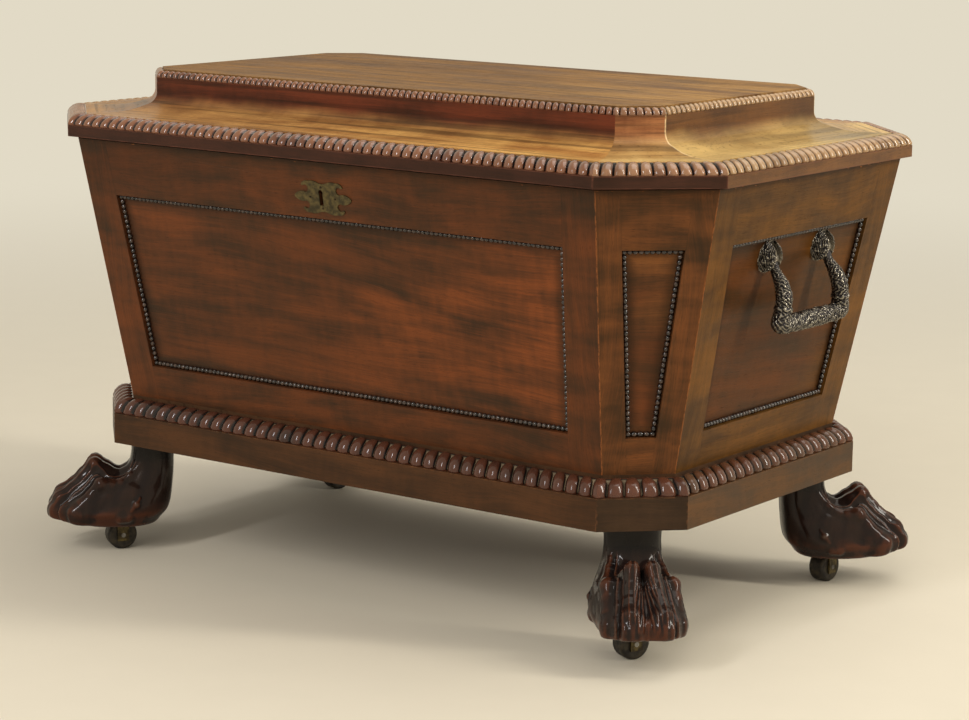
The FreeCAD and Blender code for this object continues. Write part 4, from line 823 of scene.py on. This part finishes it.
def plinth_finish():
    """Plinth rails: plain brown, dusty, with a rubbed line along the top edge."""
    f = SidedFinish("plinth_mahogany")
    grain = f.grain(f.along, f.z, f.depth, 3.3)
    top = extent("plinth_front_rail")[1][2]
    ragged = f.noise(f.along / 9, f.z / 3, f.depth).rise(0.42, 0.66, 0.0, 0.4)
    rub = (f.z.rise(top - 1.9, top - 0.5) + f.gap.rise(0.4, 2.0, 1.0, 0.0)) * ragged
    ground = f.coloured(rgb(38, 27, 19), rgb(50, 35, 19), rgb(31, 25, 20))
    streak = f.coloured(rgb(76, 48, 28), rgb(92, 61, 30), rgb(60, 44, 31))
    return f.wood(ground, streak, grain, 1.0, rub.lower(1.0), rgb(112, 72, 44))


def lid_edge_finish():
    """Plain edge of the lid: very dark wine red with thin rubbed lines at its arrises."""
    f = SidedFinish("lid_edge_mahogany")
    grain = f.grain(f.along, f.z, f.depth, 4.4)
    low, high = extent("lid_frame")[0][2] + EDGE_FOOT, extent("lid_frame")[1][2]
    ragged = f.noise(f.along / 14, f.z / 2, f.depth).rise(0.36, 0.62, 0.1, 0.55)
    rub = (f.z.rise(low + 0.3, low + 1.3, 1.0, 0.0) + f.z.rise(high - 1.3, high - 0.3)
           + f.gap.rise(0.3, 1.6, 1.0, 0.0)) * ragged
    # The ends are given lighter colours than the front and cants, partly painted light from the right.
    ground = f.coloured(rgb(32, 20, 18), rgb(72, 46, 26), rgb(34, 22, 19))
    streak = f.coloured(rgb(60, 34, 27), rgb(116, 79, 44), rgb(64, 39, 31))
    return f.wood(ground, streak, grain, 1.0, rub.lower(1.0), rgb(104, 62, 48), roughness=0.34)


def cove_finish():
    """Hollow of the lid: dark red above, fading to golden streaks on the flat, with darker patches; the fade is
    partly painted reflection, and painted light and shade make the flat lighter on the right.
    """
    f = SidedFinish("cove_mahogany")
    low, high = extent("lid_cove")[0][2] + COVE_FLAT, extent("lid_cove")[1][2]
    grain = f.grain(f.along, f.z * 1.6 + f.depth * 0.5, f.depth, 6.2)
    patch = f.noise(f.along / 70, f.z / 40, f.depth / 90, 2.0, 0.6)
    # Share of the flat's colour by height: partly the wood's own fading, partly painted reflection, with the flat
    # lighter and the upright part darker.
    faded = ((f.z - low) / (high - low) + (patch - 0.5) * 0.5).rise(-0.04, 0.6, 1.0, 0.0)
    # Painted light and shade: the flat turns lighter towards the right and darker on the left.
    painted_light_to_right = f.x.rise(-380, 300)

    def shaded(above, shaded_left_flat, flat):
        """Colour of each side above, that fades to the flat's own on the right and, as painted shade, to a darker
        one on the left.
        """
        return f.mix(faded, f.coloured(*above), f.mix(painted_light_to_right, shaded_left_flat, f.coloured(*flat)))

    # The cants and ends are given lighter colours above than the front, partly painted light.
    dark = shaded((rgb(50, 23, 16), rgb(68, 43, 25), rgb(98, 56, 36)), rgb(104, 68, 38),
                  (rgb(150, 98, 48), rgb(160, 128, 72), rgb(158, 120, 68)))
    light = shaded((rgb(104, 49, 30), rgb(116, 78, 43), rgb(174, 118, 76)), rgb(172, 126, 72),
                   (rgb(220, 170, 95), rgb(208, 174, 108), rgb(220, 184, 118)))
    # Painted highlight: a cream line along the mitres of the ends and of the cants on the right.
    rub = (f.gap.rise(0.3, 1.3, 0.9, 0.0) * (f.end_side + f.cant_side * (f.along > 0))
           * f.noise(f.x / 9, f.y / 9, f.z / 5).rise(0.3, 0.5))
    streaks = f.noise(f.along / 300, f.depth / 9 + f.z / 7, f.z / 60).rise(0.48, 0.62, 0.0, 0.9)
    # Dark streaks of the figure, and painted shade that darkens the ends towards the back.
    shade = streaks * (1 - f.end_side * 0.4) * 0.6 + f.y.rise(50, 185, 0.0, 0.4) * f.end_side
    return f.wood(dark, light, grain, 1.05, rub, rgb(232, 202, 152), roughness=0.36, shade=shade.lower(0.8))


def top_finish():
    """Top board: faded olive gold with brown figure along the chest, old rings and rubs, and painted sheen that
    lightens it towards the right.
    """
    f = Finish("top_mahogany")
    grain = f.grain(f.x, f.y, f.z, 8.8, 1.5)
    stain = f.noise(f.x / 120, f.y / 70, f.z / 90, 4.0, 0.6).rise(0.46, 0.66, 0.0, 0.7)
    streak = f.noise(f.x / 260, f.y / 10 + f.x / 90, f.z, 4.0, 0.6).rise(0.5, 0.66, 0.0, 0.55)
    # Painted sheen: the board turns lighter towards the right.
    painted_light_to_right = f.x.rise(-80, 420)
    ground = f.mix(stain, f.mix(painted_light_to_right, rgb(78, 51, 28), rgb(100, 68, 39)), rgb(54, 35, 21))
    light = f.mix(painted_light_to_right, colours().top, rgb(168, 129, 78))
    return f.wood(ground, light, grain, 1.05, roughness=0.5, coat=0.0, gloss=0.08, shade=streak * 0.5)


def gadroon_finish():
    """Carved lobes: dark red polished flanks; rubbed crests, lightened into a painted highlight; black wax in the
    grooves, darkened further as painted shade; and dust at the bottom.
    """
    f = SidedFinish("gadroon_mahogany")
    raised, blotches, plinth = f.relief(), f.clouds(35), f.z < BODY_FOOT
    grain = f.grain(f.along, f.z, f.depth, 2.2)
    # The ends and cants are given lighter crests than the front, partly painted light from the right.
    crest = f.mix(plinth, f.coloured(colours().gadroon, rgb(132, 92, 54), rgb(88, 47, 30)),
                  f.coloured(rgb(34, 18, 14), rgb(90, 64, 42), rgb(74, 44, 30)))
    # Rubbed crests, lightened towards cream on the ends and cants as a painted highlight.
    worn = f.mix(plinth, f.coloured(rgb(146, 96, 64), rgb(184, 148, 104), rgb(166, 122, 86)), rgb(96, 54, 36))
    tone = (grain["bands"] * 0.6 + grain["cloud"] * 0.6 - 0.1).rise(0.3, 0.7)
    body = f.mix(tone, f.mix(0.45, crest, colours().crevice), crest)
    # Painted highlight on the crests, in patches.
    body = f.mix(raised.rise(0.1, 0.15) * blotches.rise(0.3, 0.55, 0.2, 0.65), body, worn)
    # Black wax in the grooves, darkened further as painted shade.
    colour = f.mix(raised.rise(0.05, 0.14), colours().crevice, body)
    dust = raised.rise(-0.06, 0.02, 1.0, 0.0) * blotches.rise(0.35, 0.55, 0.3, 1.0)
    colour = f.mix(dust, colour, f.mix(plinth, rgb(44, 34, 28), rgb(132, 116, 92)))
    return f.surface(colour, raised.rise(-0.02, 0.1, 0.6, 0.24), grain["fibre"], depth=0.04,
                     coat=raised.rise(-0.05, 0.06) * (1 - plinth * 0.4),
                     **{"Coat Roughness": 0.08, "Coat IOR": 1.5, "Specular IOR Level": 0.15})


def bead_finish():
    """Ebonised beads: near black, glossy, dull and darkened with painted shade in the necks."""
    f = Finish("ebonised_beads")
    raised, speck = f.relief(), f.clouds(4)
    colour = f.mix(speck.rise(0.4, 0.7), colours().ebony, rgb(70, 50, 38))
    # Painted shade: the necks between the balls darken nearly to black.
    colour = f.mix(raised.rise(0.0, 0.12, 0.9, 0.0), colour, rgb(12, 10, 9))
    return f.surface(colour, raised.rise(0.0, 0.12, 0.6, 0.2), speck, coat=raised.rise(0.0, 0.1), depth=0.05,
                     **{"Coat Roughness": 0.1, "Coat IOR": 1.5, "Specular IOR Level": 0.2})


def paw_finish():
    """Carved feet: dark glossy ground with painted shade at the ankle's top, red-brown where rubbed, black wax in
    the clefts.
    """
    f = Finish("paw_mahogany")
    raised, worn = f.relief(), f.noise(f.x / 22, f.y / 22, f.z / 30)
    grain = f.grain(f.z, f.x, f.y, 1.9)
    colour = f.mix(grain["bands"].rise(0.35, 0.7), colours().paw, rgb(40, 28, 22))
    # Painted shade: the ankle darkens to near black at its top, under the plinth.
    colour = f.mix(f.z.rise(98, 110), colour, rgb(17, 13, 12))
    ridges = raised.rise(0.0, 0.1) * raised.rise(0.1, 0.16, 1.0, 0.3) * worn.rise(0.34, 0.6, 0.25, 1.0)
    sole = f.z.rise(36, 60, 1.0, 0.0) * worn.rise(0.46, 0.62, 0.0, 0.5)
    colour = f.mix((ridges * f.z.rise(112, 104) + sole).lower(0.55), colour, rgb(88, 46, 26))
    colour = f.mix(raised.rise(0.09, 0.17, 0.0, 0.35), colour, rgb(112, 90, 74))
    colour = f.mix(raised.rise(-0.1, -0.015, 0.9, 0.0), colour, rgb(16, 12, 12))
    colour = f.mix(grain["pores"] * 0.3, colour, (0.01, 0.006, 0.005))
    rough = worn.rise(0.3, 0.7, 0.2, 0.34) + raised.rise(-0.1, 0.0, 0.3, 0.0)
    return f.surface(colour, rough, grain["fibre"] + worn * 2, coat=0.3, depth=0.06,
                     **{"Coat Roughness": 0.07, "Specular IOR Level": 0.06, "Specular Tint": (1.0, 0.86, 0.76)})


def bronze_finish():
    """Cast bronze: nearly black patina, lighter where the leaves are rubbed, partly wear and partly painted
    highlight.
    """
    f = Finish("patinated_bronze")
    raised, cloud = f.relief(), f.clouds(9, 4.0)
    colour = f.mix(cloud.rise(0.35, 0.7), rgb(40, 37, 37), colours().bronze)
    # Rubbed leaves turn pale, partly wear and partly painted highlight.
    colour = f.mix(raised.rise(0.04, 0.13, 0.0, 0.85), colour, rgb(154, 146, 131))
    colour = f.mix(raised.rise(-0.09, 0.0, 0.75, 0.0), colour, rgb(17, 15, 14))
    return f.surface(colour, cloud.rise(0.3, 0.7, 0.18, 0.34), f.cells(900) * 1.5 + cloud, metallic=0.8, depth=0.25)


def metal_finish(name, ground, bright, roughness, metallic, grime):
    """Old metal: mottled patina, rubbed bright here and there, with fine scratches."""
    f = Finish(name)
    cloud, spots = f.clouds(7, 4.0, 0.6), f.clouds(2)
    scratch = f.noise(f.x / 0.5, f.y / 6, f.z / 0.5, 2.0)
    colour = f.mix(cloud.rise(0.35, 0.68), ground, bright)
    colour = f.mix(spots.rise(0.55, 0.7) * grime, colour, rgb(32, 26, 20))
    return f.surface(colour, cloud.rise(0.3, 0.7, roughness + 0.12, roughness - 0.08) + scratch * 0.1,
                     scratch + spots, metallic=metallic, depth=0.04)


def plain_wood(name, ground, streak, upright=False):
    """Inside wood: dry, with open grain, level or upright."""
    f = Finish(name)
    along, depth = (f.z, f.x) if upright else (f.x, f.z)
    return f.wood(ground, streak, f.grain(along, f.y, depth, 3.9), roughness=0.55, coat=0.0)


def lead_finish():
    """Beaten lead sheet: dull blue grey with pale bloom and soft dents."""
    f = Finish("lead_sheet")
    bloom = f.clouds(30, 4.0)
    colour = f.mix(bloom.rise(0.35, 0.7), rgb(104, 106, 107), rgb(136, 137, 134))
    return f.surface(colour, bloom.rise(0.3, 0.7, 0.5, 0.7), f.cells(45), metallic=0.6, depth=0.8)


def dress(material, *nodes):
    """Gives frame nodes a finish."""
    for node in nodes:
        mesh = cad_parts[node].data
        mesh.materials.clear()
        mesh.materials.append(material)


# ---- operators

class CELLARETTE_OT_gadroons(bpy.types.Operator):
    """Carve the gadrooned mouldings of the plinth, the lid and the crown"""

    bl_idname = "cellarette.gadroons"
    bl_label = "Gadroons"

    def execute(self, context):
        carving = context.scene.cellarette.carving
        material = gadroon_finish()
        for node, body, width, lobes, crest_steps in (
                ("plinth_gadroon", "chest", 21.0, carving.plinth_lobes, FINE_CREST),
                ("lid_gadroon", "lid", 20.0, carving.lid_lobes, FINE_CREST),
                ("crown_gadroon", "lid", 8.0, carving.crown_lobes, COARSE_CREST)):
            ring = gadroon_ring(node, width, lobes, carving.lobe_relief, crest_steps)
            piece("carved_" + node, [ring], material, body, node, 50)
        return {"FINISHED"}


class CELLARETTE_OT_beading(bpy.types.Operator):
    """Run the beaded strips round all eight panels"""

    bl_idname = "cellarette.beading"
    bl_label = "Beading"

    def execute(self, context):
        pitch = context.scene.cellarette.carving.bead_pitch / MM
        material = bead_finish()
        for node, sides in (("front_beading", (0,)), ("back_beading", (4,)), ("end_beading", (2, 6)),
                            ("corner_beading", (1, 3, 5, 7))):
            strips = [strip for side in sides for strip in beading(side, pitch)]
            piece("beaded_" + node, strips, material, "chest", node, 60)
        return {"FINISHED"}


class CELLARETTE_OT_feet(bpy.types.Operator):
    """Carve the four paw feet"""

    bl_idname = "cellarette.feet"
    bl_label = "Paw feet"

    def execute(self, context):
        material = paw_finish()
        grid = paw_grid()
        for corner in CORNERS:
            paw = shell(foot_place(corner, grid))
            piece("paw_" + corner, [paw], material, "chest", "foot_" + corner, 70)
        return {"FINISHED"}


class CELLARETTE_OT_handles(bpy.types.Operator):
    """Cast the drop handles and their roses"""

    bl_idname = "cellarette.handles"
    bl_label = "Handles"

    def execute(self, context):
        material = bronze_finish()
        flutes = context.scene.cellarette.carving.flutes
        for end, name in ((-1, "left"), (1, "right")):
            pivot = handle_centre(2 * end % 8) * (1, 0, 1)
            shells = [bail_shell(pivot, end, flutes)] + eye_shells(pivot)
            piece("cast_" + name + "_bail", shells, material, name + "_handle", name + "_bail", 50)
        roses = [part for side in (2, 6) for hand in (-1, 1) for part in rose_shells(side, hand)]
        piece("cast_roses", roses, material, "chest", "handle_roses", 50)
        return {"FINISHED"}


class CELLARETTE_OT_woodwork(bpy.types.Operator):
    """Stain and polish the walls, the plinth, the lid and the inside"""

    bl_idname = "cellarette.woodwork"
    bl_label = "Wood finishes"

    def execute(self, context):
        dress(carcass_finish(), "front_frame", "back_frame", "corner_frames")
        dress(carcass_finish("end_mahogany", 0.1), "left_frame", "right_frame")
        dress(panel_finish(), "front_panel", "back_panel", "corner_panels")
        dress(panel_finish("end_panel_mahogany", 0.08), "left_panel", "right_panel")
        dress(plinth_finish(), "plinth_front_rail", "plinth_back_rail", "plinth_left_rail", "plinth_right_rail")
        dress(lid_edge_finish(), "lid_frame")
        dress(cove_finish(), "lid_cove")
        dress(top_finish(), "lid_top_board")
        dress(plain_wood("bottom_wood", rgb(40, 29, 21), rgb(74, 50, 32)), "bottom_board")
        dress(plain_wood("division_wood", rgb(96, 64, 40), rgb(140, 98, 62), True), "long_divisions",
              "cross_divisions")
        dress(lead_finish(), "liner")
        return {"FINISHED"}


class CELLARETTE_OT_metalwork(bpy.types.Operator):
    """Finish the lock, the hinges, the castors and the small fastenings"""

    bl_idname = "cellarette.metalwork"
    bl_label = "Metal finishes"

    def execute(self, context):
        forks, rollers, axles = (["castor_" + kind + "_" + corner for corner in CORNERS]
                                 for kind in ("fork", "roller", "axle"))
        for name, ground, bright, roughness, metallic, grime, nodes in (
                ("castor_brass", rgb(52, 44, 30), rgb(104, 90, 54), 0.42, 0.7, 0.5, [*forks, "castor_sockets"]),
                ("castor_roller", rgb(26, 22, 20), rgb(60, 52, 38), 0.5, 0.3, 0.5, rollers),
                ("hinge_brass", colours().brass, rgb(178, 150, 90), 0.34, 0.9, 0.5,
                 ["hinge_body_leaves", "hinge_lid_leaves"]),
                ("screw_brass", rgb(120, 98, 58), rgb(170, 142, 88), 0.38, 0.9, 0.5,
                 ["hinge_body_screws", "hinge_lid_screws"]),
                ("plate_brass", rgb(60, 52, 31), rgb(100, 86, 50), 0.46, 0.6, 0.5, ["escutcheon"]),
                ("dark_pins", rgb(44, 36, 28), rgb(70, 58, 42), 0.5, 0.9, 0.5, ["escutcheon_pins", "handle_pins"]),
                ("steel", rgb(96, 94, 92), rgb(150, 148, 144), 0.36, 1.0, 0.3, ["hinge_pins", *axles]),
                ("lock_iron", rgb(60, 56, 54), rgb(104, 100, 96), 0.48, 0.9, 0.5,
                 ["lock_case", "lock_bolt", "lock_staple", "handle_nuts"])):
            dress(metal_finish(name, ground, bright, roughness, metallic, grime), *nodes)
        return {"FINISHED"}


# Name, watts, place, width and height in metres, colour
LAMPS = (("ceiling_panel", 38, (0.7, 0.6, 3.0), 2.4, 2.4, (1.0, 0.97, 0.92)),
         ("front_window", 44, (-0.12, -3.2, 2.1), 0.28, 1.6, (0.97, 0.97, 1.0)),
         ("right_window", 58, (2.9, 0.85, 1.8), 0.36, 2.0, (1.0, 0.96, 0.88)))
KEY_PLACE, KEY_WIDTH, KEY_COLOUR = (0.9, -2.2, 2.1), 0.7, (1.0, 0.96, 0.9)    # a sun's width is an angle
LAMP_TARGET = (0, 0, 0.3)
VIEW_YAW, VIEW_PITCH, VIEW_ROLL = 0.615, -0.160, 0.016     # the camera's turn, in radians
VIEW_SHIFT = (-0.0473, -0.0719)
FLOOR_HALF = 40                       # metres


def looking(place, forward, roll):
    """Placement of a lamp or camera at a place, facing forward and turned by roll about its view."""
    forward = forward / np.linalg.norm(forward)
    right = np.cross(forward, (0, 0, 1))
    right /= np.linalg.norm(right)
    up = np.cross(right, forward)
    side = right * math.cos(roll) + up * math.sin(roll)
    top = up * math.cos(roll) - right * math.sin(roll)
    matrix = np.eye(4)
    matrix[:3] = np.stack([side, top, -forward, place], 1)
    return Matrix(matrix.tolist())


def placed(name, data, matrix=None):
    """New object in the scene, at a placement if one is given."""
    thing = bpy.data.objects.new(name, data)
    bpy.context.scene.collection.objects.link(thing)
    if matrix is not None:
        thing.matrix_world = matrix
    return thing


def lamp(name, kind, energy, place, colour):
    """New lamp that faces the chest."""
    light = bpy.data.lights.new(name, kind)
    light.energy, light.color = energy, colour
    return light, placed(name, light, looking(np.array(place), np.subtract(LAMP_TARGET, place), 0.0))


class CELLARETTE_OT_stage(bpy.types.Operator):
    """Lay the floor, set the lamps and the camera"""

    bl_idname = "cellarette.stage"
    bl_label = "Stage"

    def execute(self, context):
        stage, scene = context.scene.cellarette.stage, context.scene
        mesh = bpy.data.meshes.new("floor")
        mesh.from_pydata([(x * FLOOR_HALF, y * FLOOR_HALF, 0) for x, y in ((-1, -1), (1, -1), (1, 1), (-1, 1))],
                         [], [(0, 1, 2, 3)])
        f = Finish("pale_floor")
        colour = f.mix(f.noise(f.x / 60, f.y / 60, f.z, 4.0).rise(0.3, 0.7, 0.0, 0.05), stage.floor,
                       rgb(196, 186, 166))
        far = (f.x * f.x + f.y * f.y).root().rise(500, 3600)
        mesh.materials.append(f.surface(colour, 0.8, None, glow=(far * f.seen(), stage.backdrop)))
        placed("floor", mesh)
        room = Shading(bpy.data.worlds.new("room"))
        sky = room.node("ShaderNodeBackground", inputs={"Color": (1.0, 0.975, 0.94), "Strength": stage.sky})
        plain = room.node("ShaderNodeBackground", inputs={"Color": stage.backdrop, "Strength": 1.0})
        scene.world = room.ended(room.node("ShaderNodeMixShader", inputs={0: room.seen(), 1: sky, 2: plain}))
        sun, key = lamp("key", "SUN", stage.key, KEY_PLACE, KEY_COLOUR)
        sun.angle, key.visible_glossy = KEY_WIDTH, False
        for name, watts, place, width, height, colour in LAMPS:
            panel = lamp(name, "AREA", watts, place, colour)[0]
            panel.shape, panel.size, panel.size_y = "RECTANGLE", width, height
        lens = bpy.data.cameras.new("camera")
        lens.lens, lens.sensor_width = stage.lens, 36.0
        lens.shift_x, lens.shift_y = VIEW_SHIFT
        lens.clip_start, lens.clip_end = 0.05, 200.0
        forward = np.array([-math.sin(VIEW_YAW) * math.cos(VIEW_PITCH), math.cos(VIEW_YAW) * math.cos(VIEW_PITCH),
                            math.sin(VIEW_PITCH)])
        scene.camera = placed("camera", lens, looking(np.array(stage.station), forward, VIEW_ROLL))
        scene.view_settings.view_transform = "Standard"
        return {"FINISHED"}


OPERATORS = (CELLARETTE_OT_stage, CELLARETTE_OT_gadroons, CELLARETTE_OT_beading, CELLARETTE_OT_feet,
             CELLARETTE_OT_handles, CELLARETTE_OT_woodwork, CELLARETTE_OT_metalwork)


class CELLARETTE_PT_panel(bpy.types.Panel):
    """Lists the chest's values and operators"""

    bl_label = "Cellarette"
    bl_idname = "CELLARETTE_PT_panel"
    bl_space_type = "VIEW_3D"
    bl_region_type = "UI"
    bl_category = "Cellarette"

    def draw(self, context):
        settings = context.scene.cellarette
        for group in (settings.carving, settings.finish, settings.stage):
            box = self.layout.box()
            for name in group.__annotations__:
                box.prop(group, name)
        for operator in OPERATORS:
            self.layout.operator(operator.bl_idname)


CLASSES = (CELLARETTE_PG_carving, CELLARETTE_PG_finish, CELLARETTE_PG_stage, CELLARETTE_PG_settings,
           *OPERATORS, CELLARETTE_PT_panel)


def register():
    for kind in CLASSES:
        bpy.utils.register_class(kind)
    bpy.types.Scene.cellarette = PointerProperty(type=CELLARETTE_PG_settings)


def unregister():
    del bpy.types.Scene.cellarette
    for kind in reversed(CLASSES):
        bpy.utils.unregister_class(kind)


def main():
    """Registers the add-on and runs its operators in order."""
    register()
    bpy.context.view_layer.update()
    for operator in OPERATORS:
        group, name = operator.bl_idname.split(".")
        getattr(getattr(bpy.ops, group), name)()


if __name__ == "__main__":
    main()
